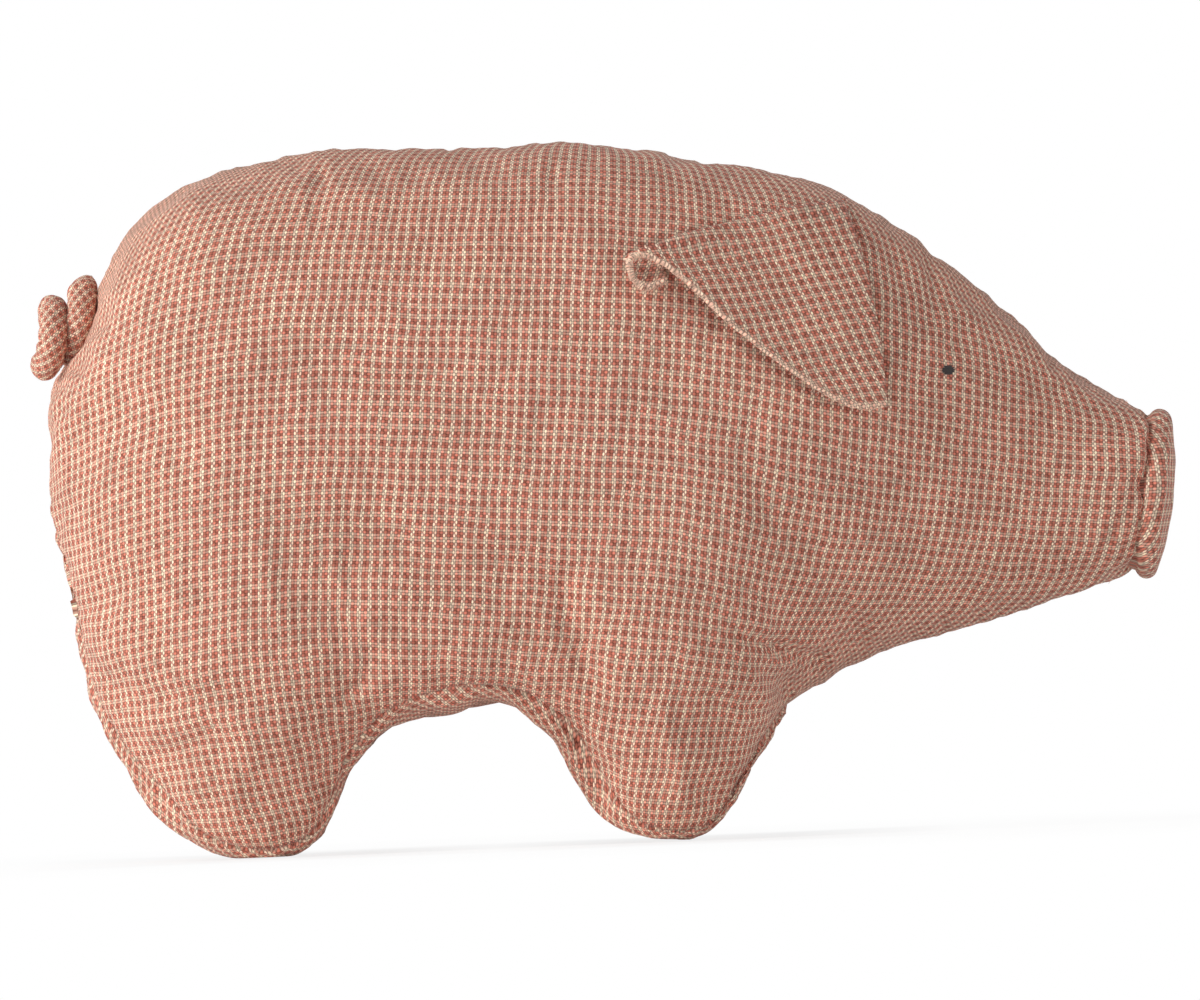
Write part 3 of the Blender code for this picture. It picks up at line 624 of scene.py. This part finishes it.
def swollen(mesh):
    """The mesh after its cloth has been pressed outwards, seams held."""
    before = [vertex.co.copy() for vertex in mesh.verts]
    held = {vertex.index for edge in seam_edges(mesh) for vertex in edge.verts}
    made = as_object("bag", mesh)
    group = made.vertex_groups.new(name="held")
    loose = [index for index in range(len(before)) if index not in held]
    group.add(sorted(held), 1.0, "REPLACE")
    group.add(loose, 0.12, "REPLACE")
    bag = made.modifiers.new("cloth", "CLOTH")
    settings = bag.settings
    settings.quality = 6
    settings.mass = 0.15
    settings.tension_stiffness = settings.compression_stiffness = 8
    settings.shear_stiffness = 3
    settings.bending_stiffness = 0.05
    settings.vertex_group_mass = "held"
    settings.pin_stiffness = 0.6
    settings.shrink_min = -0.035
    settings.use_pressure = True
    settings.uniform_pressure_force = 4
    settings.effector_weights.gravity = 0
    bag.collision_settings.use_collision = False
    for step in range(1, 21):
        bpy.context.scene.frame_set(step)
    mesh = read_back(made)
    mesh.verts.ensure_lookup_table()
    moves = [vertex.co - start for vertex, start in zip(mesh.verts, before)]
    for vertex, start, move in zip(mesh.verts, before, moves):
        if move.length > SWELL:
            vertex.co = start + move * (SWELL / move.length)
    lengths = [move.length for move in moves]
    mean = round(float(np.mean(lengths)) / MM, 2)
    print("swelled by up to", round(max(lengths) / MM, 1), "mm, mean", mean)
    bpy.context.scene.frame_set(1)
    return mesh


skin = swollen(skin)
print("skin faces:", len(skin.faces))

# %% [markdown]
# ## Seams, puckers and creases
# Two pieces of cloth that are sewn from the inside leave a narrow valley, and small
# puckers run away from it where the thread pulls. The filling also leaves a few soft
# creases. They are carved by moving the skin's points along their normals: first
# the valley by the distance to the nearest seam, then ripples along that seam, then
# each crease along a listed line, from one (x, z) in metres to another,
# with its depth and width in millimetres. Last, a few listed pulls, (x, z, forward,
# up, width) in millimetres, tug the bag true.

# %% Creases and pulls
SEAM_DEPTH, SEAM_REACH = 1.5 * MM, 3.2 * MM
PUCKER_DEPTH, PUCKER_REACH = 0.55 * MM, 13 * MM
KEEL_HALF_WIDTH = 12 * MM
FLOOR_CLEARANCE = 0.4 * MM
CREASES = (
    ((-0.060, 0.068), (-0.048, 0.052), 1.2, 7.0),
    ((-0.040, 0.070), (-0.030, 0.054), 1.0, 7.0),
    ((-0.012, 0.074), (-0.008, 0.056), 1.0, 8.0),
    ((-0.088, 0.060), (-0.094, 0.066), 1.0, 6.0),
    ((-0.003, 0.046), (-0.016, 0.094), 1.6, 8.0),
    ((0.062, 0.052), (0.058, 0.090), 1.3, 7.0),
    ((0.043, 0.071), (0.073, 0.062), 4.0, 4.5),
    ((-0.156, 0.057), (-0.095, 0.055), 3.0, 6.5),
    ((-0.093, 0.054), (-0.086, 0.062), 2.2, 4.0),
    ((0.060, 0.053), (0.088, 0.074), 1.4, 6.0),
    ((0.062, 0.050), (0.046, 0.070), 1.2, 6.0),
    ((0.056, 0.044), (0.030, 0.050), 1.5, 5.0),
    ((0.186, 0.120), (0.171, 0.093), 1.4, 3.5),
    ((0.0885, 0.214), (0.099, 0.151), 2.6, 3.6),
)

PULLS = (
    (65.2, 48.9, 0, -2.0, 15),
    (81.3, 59.1, 0, -1.5, 17),
    (99.0, 65.7, 0, -1.5, 17),
    (116.7, 69.8, 0, -1.7, 17),
    (134.3, 74.3, 0, -1.6, 17),
    (151.9, 78.9, 0, -1.8, 17),
    (168.5, 83.8, 0, -1.4, 15),
    (-181.5, 53.1, 0.3, 0.2, 12),
    (-174.1, 37.1, 0.5, 0.2, 12),
    (-165.3, 22.8, 0.4, 0.0, 12),
    (-153.3, 9.0, 0.2, 0.1, 12),
    (-193.2, 159.6, -1.5, 0, 13),
    (-74.4, 45.2, 0, 1.2, 11),
    (-63.1, 47.2, 0, 1.2, 11),
    (-51.5, 49.5, 0, 1.2, 11),
    (-39.4, 49.4, 0, 1.3, 11),
    (-21.5, 35.0, 1.0, 0.3, 10),
    (-12.1, 17.2, 1.0, 0.3, 10),
    (24.1, 237.8, 0, 1.5, 9),
    (167.1, 153.2, -0.2, -1.1, 11),
    (178.0, 147.2, -0.2, -1.1, 11),
    (187.3, 134.6, 1.4, 0, 14),
    (185.0, 113.8, 1.4, 0, 14),
    (182.0, 91.2, 1.4, 0, 14),
)
print(len(CREASES), "creases,", len(PULLS), "pulls")


# %% Carve seams and creases
def pulled(point):
    """How far the listed pulls move a point, as a maker tugs a stuffed toy true."""
    moved = Vector()
    for x, z, forward, up, width in PULLS:
        away = math.hypot(point.x / MM - x, point.z / MM - z)
        moved += Vector((forward, 0, up)) * (MM * math.exp(-((away / width) ** 2)))
    return moved


def seam_points(mesh):
    """Points of the seams, as a tree to find the nearest one in."""
    points = []
    for edge in seam_edges(mesh):
        points.append((edge.verts[0].co + edge.verts[1].co) / 2)
        points.append(edge.verts[0].co.copy())
    tree = KDTree(len(points))
    for index, point in enumerate(points):
        tree.insert(point, index)
    tree.balance()
    return tree


def line_distance(point, start, end):
    """Distance in the side view from a point to a line, and how far along it lies."""
    place = Vector((point.x, point.z))
    way = Vector(end) - Vector(start)
    along = min(max((place - Vector(start)).dot(way) / way.length_squared, 0), 1)
    return (place - Vector(start) - way * along).length, along


skin = divided(skin, 1)
skin.normal_update()
seams = seam_points(skin)
moves = []
for vertex in skin.verts:
    nearest, _, distance = seams.find(vertex.co)
    sink = SEAM_DEPTH * math.exp(-((distance / SEAM_REACH) ** 1.3))
    fine_ripple = noise.noise(nearest / (2.3 * MM) + Vector((9, 0, 0)))
    ripple = noise.noise(nearest / (4.5 * MM)) + 0.6 * fine_ripple
    fade = math.exp(-((distance / PUCKER_REACH) ** 2))
    fade *= 1 - math.exp(-((distance / (2 * MM)) ** 2))
    move = -sink + PUCKER_DEPTH * ripple * fade
    waver = 0.5 * MM * noise.noise(vertex.co / (22 * MM))
    move += waver + 0.25 * MM * noise.noise(vertex.co / (9 * MM))
    for start, end, depth, width in CREASES:
        away, along = line_distance(vertex.co, start, end)
        if away < 3 * width * MM and abs(vertex.co.y) > KEEL_HALF_WIDTH:
            share = (away / (width * MM)) ** 2
            move -= depth * MM * math.exp(-3 * share) * (1 - 0.5 * abs(2 * along - 1))
            move += 0.35 * depth * MM * share * math.exp(-1.2 * share)
    moves.append(vertex.normal * move + pulled(vertex.co))
for vertex, move in zip(skin.verts, moves):
    vertex.co += move
    vertex.co.z = max(vertex.co.z, FLOOR_CLEARANCE)
print("seams and creases carved")

# %% Cut the skin into its three pieces of cloth
TURNED_IN = 2.0 * MM
BODY_PIECES = {}
for index, (name, node) in enumerate((
    ("right_side_cloth", "right_side_panel"),
    ("gusset_cloth", "belly_gusset"),
    ("left_side_cloth", "left_side_panel"),
)):
    sheet = skin.copy()
    others = [face for face in sheet.faces if face.material_index != index]
    bmesh.ops.delete(sheet, geom=others, context="FACES")
    for face in sheet.faces:
        face.material_index = 0
    print(name, len(sheet.faces), "faces")
    turned_in = [edge for edge in sheet.edges if edge.is_boundary]
    normals = {vertex: vertex.normal.copy() for edge in turned_in for vertex in edge.verts}
    allowance = bmesh.ops.extrude_edge_only(sheet, edges=turned_in)
    for vertex in [item for item in allowance["geom"] if isinstance(item, bmesh.types.BMVert)]:
        for edge in vertex.link_edges:
            partner = edge.other_vert(vertex)
            if partner in normals:
                vertex.co = partner.co - normals[partner] * TURNED_IN
    made = as_object(name, sheet, checked_cloth)
    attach(made, "root")
    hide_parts(node)
    BODY_PIECES[name] = made
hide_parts(*WADS)

# %% [markdown]
# ## Ears
# Each ear is two layers of the same cloth, sewn round and turned, then folded over
# a strip on the head so that it hangs back over the shoulder. Its lower edge is a
# thick, worn roll, and its tip curls under. A grid is laid over the body between
# the top edge and the lower edge, copied to two layers, and bridged at the rim.
# The two listed edges are (x, z, depth) in millimetres, from the fold to the tip.

# %% Middle surface of an ear
EAR_TOP = (
    (85.4, 217.6, 0), (71.4, 216.6, 0), (54.6, 213.9, 0), (37.0, 209.0, 0), (23.0, 205.0, 0),
    (13.1, 202.8, 1.2), (10.5, 201.6, 5.0), (12.0, 201.2, 8.2), (16.5, 202.0, 9.2),
    (22.5, 203.2, 9.2),
)
EAR_LOW = (
    (95.9, 147.2, 0), (82.6, 147.9, 0), (64.5, 161.0, 0), (43.1, 178.4, 0), (26.5, 194.2, 0),
    (16.0, 200.4, 0), (11.5, 198.6, 0.4), (11.9, 193.4, 1.2), (16.5, 189.2, 2.6),
    (24.5, 192.6, 4.6),
)
EAR_BOW = 3.4
EAR_LIFT = 3.9
EAR_FOLD_LIFT = 2.4
EAR_HEM_LIFT = 3.0
EAR_TIP_LIFT = 7.0
EAR_LAYER = 0.85
EAR_HEM = 1.25
EAR_COLUMNS, EAR_ROWS = 96, 52
ROW_RISE, COLUMN_SLANT = math.radians(6), math.radians(22)


def smooth_line(points, share):
    """Point at a share along a listed line, eased between its neighbours."""
    place = min(max(share, 0), 1) * (len(points) - 1)
    i = min(int(place), len(points) - 2)
    t = place - i
    near = [min(max(k, 0), len(points) - 1) for k in range(i - 1, i + 3)]
    a, b, c, d = (np.array(points[k], float) for k in near)
    bend = 2 * a - 5 * b + 4 * c - d
    return 0.5 * (2 * b + (c - a) * t + bend * t**2 + (3 * b - a - 3 * c + d) * t**3)


def evened(grid, rounds):
    """A grid of points or directions with its small facets smoothed away."""
    for _ in range(rounds):
        wide = np.pad(grid, ((1, 1), (1, 1), (0, 0)), mode="reflect", reflect_type="odd")
        grid = (wide[:-2, 1:-1] + wide[2:, 1:-1] + wide[1:-1, :-2] + wide[1:-1, 2:]) / 6 + grid / 3
    return grid


def ear_surface():
    """Middle points and flat places of the right ear, as grids, lifted along the body's ways out.
    """
    size = (EAR_COLUMNS + 1, EAR_ROWS + 1)
    ground, out, flat = np.zeros(size + (3,)), np.zeros(size + (3,)), np.zeros(size + (2,))
    depth = np.zeros(size)
    skew = math.cos(COLUMN_SLANT - ROW_RISE)
    rolled = 0
    for i in range(size[0]):
        u = i / EAR_COLUMNS
        top, low = smooth_line(EAR_TOP, u), smooth_line(EAR_LOW, u)
        if u > 5 / 9:
            rolled += np.linalg.norm(top - last_top)
        last_top = top
        for j in range(size[1]):
            v = j / EAR_ROWS
            bow = EAR_BOW * 4 * v * (1 - v) * max(1 - 2 * u, 0) ** 2
            x, z, depth[i, j] = top + (low - top) * v + (bow, 0, 0)
            start = Vector((x * MM, -0.2, z * MM))
            hit, normal, _, _ = form_tree.ray_cast(start, Vector((0, 1, 0)))
            ground[i, j], out[i, j] = hit / MM, normal
            fx, fz = (x, z) if rolled == 0 else (13.1 - rolled, 202.8 + (z - top[1]))
            across = fx * math.cos(COLUMN_SLANT) + fz * math.sin(COLUMN_SLANT)
            down = fx * math.sin(ROW_RISE) - fz * math.cos(ROW_RISE)
            flat[i, j] = across / skew, down / skew
    ground, out = evened(ground, 12), evened(out, 40)
    out /= np.linalg.norm(out, axis=2)[..., None]
    shares = np.linspace(0, 1, size[0])[:, None]
    rise = np.clip((shares * 9 / 5 - 0.35) / 0.65, 0, 1)
    lift = EAR_LIFT + EAR_TIP_LIFT * rise * rise * (3 - 2 * rise) - depth
    downs = np.linspace(0, 1, size[1])[None, :]
    lift = lift + EAR_FOLD_LIFT * (1 - shares) ** 5 * downs
    lift = lift + EAR_HEM_LIFT * downs**3 * (1 - rise)
    return ground + out * lift[..., None], flat


form_tree = BVHTree.FromBMesh(form)
ear_middle, ear_flat = ear_surface()
ear_out = np.cross(np.gradient(ear_middle, axis=1), np.gradient(ear_middle, axis=0))
ear_out /= np.linalg.norm(ear_out, axis=2)[..., None]
print("ear from", ear_middle.min(axis=(0, 1)).round(1), "to", ear_middle.max(axis=(0, 1)).round(1))


# %% Two layers, a rolled hem and a closed rim
def ear_width(i):
    """Distance between the top edge and the lower edge at a column of the grid."""
    return np.linalg.norm(ear_middle[i, -1] - ear_middle[i, 0])


def ear_thickness(i, j):
    """Half the ear's thickness: rounded at its rim, with a roll along its lower edge."""
    v = j / EAR_ROWS
    from_low, from_top = (1 - v) * ear_width(i), v * ear_width(i)
    from_fold, from_end = i * 0.95, (EAR_COLUMNS - i) * 0.6
    near = min(from_top, from_fold, from_end)
    half = EAR_LAYER * math.sqrt(max(1 - max(1 - near / 1.4, 0) ** 2, 0.02))
    half += 0.25 * noise.noise(Vector(ear_middle[i, j]) / 9)
    roll = 2 * EAR_HEM
    if from_low < roll:
        round_roll = math.sqrt(max(1 - (from_low / EAR_HEM - 1) ** 2, 0.01))
        half = min(EAR_HEM * round_roll, EAR_HEM)
    elif from_low < roll + 1.6:
        half *= 0.55 + 0.45 * (from_low - roll) / 1.6
    return half * min(1, 0.25 + near / 1.4)


def ear_mesh():
    """The right ear as one closed mesh with its flat places."""
    mesh = bmesh.new()
    bmesh.ops.create_grid(mesh, x_segments=EAR_COLUMNS, y_segments=EAR_ROWS, size=1)
    layer = mesh.loops.layers.uv.new("cloth")
    wear = mesh.verts.layers.float.new("wear")
    spots = {}
    for vertex in mesh.verts:
        across, down = (vertex.co.x + 1) / 2, (vertex.co.y + 1) / 2
        spots[vertex] = (round(across * EAR_COLUMNS), round(down * EAR_ROWS))
    for face in mesh.faces:
        for loop in face.loops:
            loop[layer].uv = ear_flat[spots[loop.vert]]
    copied = bmesh.ops.duplicate(mesh, geom=mesh.verts[:] + mesh.edges[:] + mesh.faces[:])
    lining = {copied["vert_map"][vertex]: spot for vertex, spot in spots.items()}
    for group, side in ((spots, 1), (lining, -1)):
        for vertex, (i, j) in group.items():
            hem = max(1 - (1 - j / EAR_ROWS) * ear_width(i) / 3.0, 0) ** 0.5
            ruffle = 0.6 * hem * noise.noise(Vector(ear_middle[i, j]) / 2.6)
            offset = side * ear_thickness(i, j) + ruffle
            vertex.co = Vector(ear_middle[i, j] + ear_out[i, j] * offset) * MM
            rim = max(hem, (i / EAR_COLUMNS) ** 40)
            vertex[wear] = min(1.3 * rim, 1)
    rims = [edge for edge in mesh.edges if edge.is_boundary]
    bridge = bmesh.ops.bridge_loops(mesh, edges=rims)
    for face in bridge["faces"]:
        for loop in face.loops:
            spot = spots.get(loop.vert) or lining.get(loop.vert)
            loop[layer].uv = ear_flat[spot]
    bmesh.ops.recalc_face_normals(mesh, faces=mesh.faces)
    return mesh


def mirrored(mesh):
    """The same mesh on the left side."""
    copy = mesh.copy()
    bmesh.ops.transform(copy, matrix=Matrix.Scale(-1, 4, (0, 1, 0)), verts=copy.verts)
    bmesh.ops.reverse_faces(copy, faces=copy.faces)
    return copy


right_ear = ear_mesh()
for side, mesh in (("left", mirrored(right_ear)), ("right", right_ear)):
    ear = as_object(f"ear_{side}_flap", mesh, checked_cloth)
    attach(ear, f"ear_{side}")
    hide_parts(f"ear_{side}_outer", f"ear_{side}_lining")
print("ear faces:", len(ear.data.polygons))

# %% [markdown]
# ## Snout
# The snout is a round pad sewn into the open end of the head. Its packed cover
# gives the form; it is divided finely, pressed a little out of true, and gathered
# where the seam pulls it, so it looks stuffed and sewn by hand.

# %% Snout pad
def around_ways(centres, normals):
    """Rows run round the upright axis and columns run up it."""
    x, y, z = normals.T
    rows = tangents(normals, np.stack([-y, x + 0.3 * np.abs(z), np.zeros_like(x)], 1))
    return rows, np.cross(normals, rows)


pad_core = BVHTree.FromBMesh(cad_mesh("snout_wadding"))
pad = outer_sheet("snout_cover", pad_core)
bmesh.ops.join_triangles(
    pad, faces=pad.faces,
    angle_face_threshold=math.radians(60), angle_shape_threshold=math.radians(120),
)
pad = divided(pad, 2)
lay_cloth(pad, around_ways, (0.196, -0.01, 0.1146))
pad = divided(pad, 1)
pad.normal_update()
pad_seat = Vector((0.187, 0, 0.1146))


def node_centre(node):
    """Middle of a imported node's box."""
    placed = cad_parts[node]
    return sum((placed.matrix_world @ Vector(corner) for corner in placed.bound_box), Vector()) / 8


nostrils = [node_centre("nostril_right"), node_centre("nostril_left")]
for vertex in pad.verts:
    away = vertex.co - pad_seat
    angle = math.atan2(away.y, away.z)
    rim = math.exp(-((away.x / (4 * MM)) ** 2))
    gather = noise.noise(Vector((math.cos(angle) * 5, math.sin(angle) * 5, 3)))
    move = 0.45 * MM * gather * rim + 0.45 * MM * noise.noise(vertex.co / (8 * MM))
    for nostril in nostrils:
        move -= 1.4 * MM * math.exp(-(((vertex.co - nostril).length / (3.2 * MM)) ** 2))
    vertex.co += vertex.normal * move
    vertex.co.z = pad_seat.z + (vertex.co.z - pad_seat.z) * 1.06
turned = [edge for edge in pad.edges if edge.is_boundary]
rim_verts = {vertex: vertex.normal.copy() for edge in turned for vertex in edge.verts}
inside = bmesh.ops.extrude_edge_only(pad, edges=turned)
for vertex in [item for item in inside["geom"] if isinstance(item, bmesh.types.BMVert)]:
    vertex.co += (pad_seat - vertex.co) * 0.08 - Vector((6 * MM, 0, 0))
snout_pad = as_object("snout_pad", pad, checked_cloth)
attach(snout_pad, "root")
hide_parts("snout_cover", "snout_wadding")
print("snout faces:", len(snout_pad.data.polygons))

# %% [markdown]
# ## Tail
# The tail is a thin tube of cloth, gathered on a thread until it curls. The curl
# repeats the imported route: a short neck that bends into a falling corkscrew. The
# tube is pinched at each gather. Its cloth lies askew, drawn together by the thread.

# %% Corkscrew tail
TAIL_ROOT = np.array((-175.557, -0.118, 201.009))
TAIL_RADIUS, NECK_RADIUS = 5.1, 4.0
HELIX_RADIUS, PITCH, TURNS, NECK_TURNS = 9.7, 10.2, 1.44, 0.11
NECK, DROOP, TIGHTEN, SWING = 5.0, 6.6, 0.10, math.radians(14)
TAIL_SIDES, TAIL_RINGS = 28, 190


def tail_point(share):
    """Centre of the tail at a share of its length, in millimetres."""
    back = np.array((-math.cos(SWING), -math.sin(SWING), 0))
    side = np.array((math.sin(SWING), -math.cos(SWING), 0))
    up = np.array((0, 0, 1.0))
    neck_share = 0.12
    if share < neck_share:
        along, turned = NECK * share / neck_share, NECK_TURNS * (share / neck_share) ** 2
    else:
        turned = NECK_TURNS + (share - neck_share) / (1 - neck_share) * (TURNS - 0.04)
        along = NECK + PITCH * (turned - NECK_TURNS)
    angle = turned * math.tau
    radius = HELIX_RADIUS * (1 - TIGHTEN * turned)
    point = TAIL_ROOT + back * along - up * (DROOP * turned + HELIX_RADIUS)
    return point + up * radius * math.cos(angle) + side * radius * math.sin(angle)


tail_points = [tail_point(step / TAIL_RINGS) for step in range(TAIL_RINGS + 1)]
tail_steps = np.linalg.norm(np.diff(tail_points, axis=0), axis=1)
tail_lengths = np.concatenate([[0], np.cumsum(tail_steps)])


def tail_thickness(step, angle):
    """Radius of the tail: thin at the neck, pinched at each gather, round at its end."""
    share = step / TAIL_RINGS
    grown = min(max((share - 0.01) / 0.11, 0), 1)
    ended = math.sqrt(max(1 - max(0, (share - 0.955) / 0.045) ** 2, 0.01))
    along = tail_lengths[step]
    place = Vector((math.cos(angle) * 1.3, math.sin(angle) * 1.3, along / 3.2))
    pinch = abs(math.sin(along * 0.62 + 0.9 * math.sin(angle + along * 0.1)))
    gather = 0.9 * min(pinch, 0.55) - 0.4 + 0.6 * noise.noise(place)
    return (NECK_RADIUS + (TAIL_RADIUS - NECK_RADIUS) * grown + gather * grown) * ended


def tail_mesh():
    """The tube of the tail, with its flat places turned askew."""
    mesh, spots = tube(tail_points, TAIL_SIDES, tail_thickness)
    layer = mesh.loops.layers.uv.new("cloth")
    askew = Matrix.Rotation(math.radians(38), 2) * 1.4
    for face in mesh.faces:
        angles = [spots[loop.vert][1] for loop in face.loops]
        wraps = max(angles) - min(angles) > math.pi
        for loop, angle in zip(face.loops, angles):
            turned = angle + math.tau if wraps and angle < 0 else angle
            flat = Vector((tail_lengths[spots[loop.vert][0]], turned * TAIL_RADIUS))
            loop[layer].uv = askew @ flat
    return mesh


tail = as_object("tail_curl", tail_mesh(), checked_cloth)
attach(tail, "tail")
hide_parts("tail_tube", "tail_filling")
print("tail faces:", len(tail.data.polygons))

# %% [markdown]
# ## Eyes, nostrils and loose threads
# Each eye and each nostril is a few dark stitches side by side, laid over the cloth
# at the place of its packed knot. The worn hems and the snout's seam have let go of
# some fibres, and two bits of lint lie on the flank. The strips under the ears keep
# their packed form and get the checked cloth.

# %% Thread and fibres
def thread(name, dark, light):
    """Yarn: fine strands side by side."""
    look = Look(name)
    place = look.node("ShaderNodeTexCoord", output=3)
    strands = look.node("ShaderNodeTexNoise", Vector=place, Scale=2600.0, Detail=3.0)
    colour = look.blend(strands, dark, light)
    bump = look.node("ShaderNodeBump", Strength=0.6, Distance=0.0001, Height=strands)
    look.shade(Base_Color=colour, Roughness=0.6, Normal=bump)
    return look.material


dark_thread = thread("dark_thread", (0.012, 0.009, 0.009, 1), (0.060, 0.045, 0.040, 1))
pale_fibre = thread("pale_fibre", (0.800, 0.420, 0.300, 1), (1.000, 0.800, 0.640, 1))
print("threads:", dark_thread.name, "and", pale_fibre.name)


# %% Helpers for stitches and fibres
def stitches(name, knot, towards, count, length, spacing):
    """Dark stitches side by side over the cloth, in place of a packed knot."""
    centre = node_centre(knot) / MM
    parts = []
    side = Vector(towards).cross(Vector((0, 0, 1)))
    for k in range(count):
        across = (k - (count - 1) / 2) * spacing
        half = length / 2 * math.sqrt(1 - (2 * across / (count * spacing)) ** 2)
        points = []
        for step in range(9):
            along = (step / 4 - 1) * half
            start = centre + side * along + Vector((0, 0, across)) - Vector(towards) * 20
            hit = dressed.ray_cast(start * MM, Vector(towards))[0] / MM
            points.append(hit - Vector(towards) * (0.4 * math.cos(along / half * 1.9) - 0.1))
        parts.append(tube(points, 8, lambda step, angle: spacing * 0.56)[0])
    made = as_object(name, joined(parts), dark_thread)
    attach(made, "root")
    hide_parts(knot)


def fibres(name, starts, length, rides):
    """Short loose fibres that curl away from their starts, as one object."""
    parts = []
    for index, (start, way) in enumerate(starts):
        seed = Vector((index * 7.3, 1.7, 4.1))
        reach = length * (0.7 + 0.6 * abs(noise.noise(seed)))
        points, heading = [Vector(start)], Vector(way).normalized()
        for step in range(5):
            drift = noise.noise_vector(seed + Vector((0, step * 0.6, 0)))
            heading = (heading + drift * 1.1).normalized()
            points.append(points[-1] + heading * reach / 5)
        parts.append(tube(points, 5, lambda step, angle: 0.13 * (1 - 0.12 * step))[0])
    made = as_object(name, joined(parts), pale_fibre)
    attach(made, rides)


# %% Eyes and nostrils
whole = bmesh.new()
for piece in list(BODY_PIECES.values()) + [snout_pad]:
    whole.from_mesh(piece.data)
dressed = BVHTree.FromBMesh(whole)
for side, turn in (("right", 1), ("left", -1)):
    stitches(f"eye_{side}_stitches", f"eye_{side}", (0, turn, 0), 5, 4.4, 0.62)
    stitches(f"nostril_{side}_stitches", f"nostril_{side}", (-1, 0, 0), 4, 3.4, 0.6)

# %% Worn hems, seam fibres and lint
HEM_FIBRES, SEAM_FIBRES = 110, 26
hem = [(ear_middle[i, -1], ear_out[i, -1]) for i in range(2, EAR_COLUMNS)]
for side, turn in (("right", 1), ("left", -1)):
    starts = []
    for index in range(HEM_FIBRES):
        place, out = hem[(index * 37) % len(hem)]
        low = Vector((-0.6, 0, -0.8)) + noise.noise_vector(Vector((index, 3, turn))) * 0.9
        mirror = Vector((1, turn, 1))
        starts.append((Vector(place) * mirror, (Vector(out) * 0.5 + low) * mirror))
    fibres(f"ear_{side}_fray", starts, 2.2, f"ear_{side}")

seam_frays = []
for index in range(SEAM_FIBRES):
    turn = index / SEAM_FIBRES * math.tau
    start = Vector((183.5 - 8 * (1 - math.cos(turn)) / 2, 0, 0))
    way = Vector((-0.6, math.sin(turn), math.cos(turn)))
    aim = Vector((start.x, math.sin(turn) * 60, 114.6 + math.cos(turn) * 60))
    hit = dressed.ray_cast(aim * MM, Vector((0, -math.sin(turn), -math.cos(turn))))[0]
    seam_frays.append((hit / MM, way))
fibres("snout_seam_fray", seam_frays, 2.4, "root")

lint = []
for x, z, lean in ((-25.6, 128.6, -0.9), (-46.6, 84.9, 0.6)):
    hit = dressed.ray_cast(Vector((x, -200, z)) * MM, Vector((0, 1, 0)))[0] / MM
    lint.append((hit + Vector((0, -0.3, 0)), (1, -0.15, lean)))
fibres("flank_lint", lint, 5.0, "root")
print("fibres:", 2 * HEM_FIBRES + SEAM_FIBRES + len(lint))


# %% Cloth of the strips under the ears
def seen_from_side(look):
    """Flat millimetres from the object's own side view, for small hidden pieces."""
    place = look.node("ShaderNodeTexCoord", output=3)
    split = look.tree.nodes.new("ShaderNodeSeparateXYZ")
    connect(look.tree, split.inputs[0], place)
    across, up = Wire(look.tree, split.outputs[0]), Wire(look.tree, split.outputs[2])
    return look.node("ShaderNodeCombineXYZ", X=across * 1000, Y=up * 1000)


strip_cloth = cloth("strip_cloth", mapped=seen_from_side)
for name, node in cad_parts.items():
    if name.endswith("strip"):
        node.data.materials.clear()
        node.data.materials.append(strip_cloth)
print("strip cloth nodes:", len(strip_cloth.node_tree.nodes))
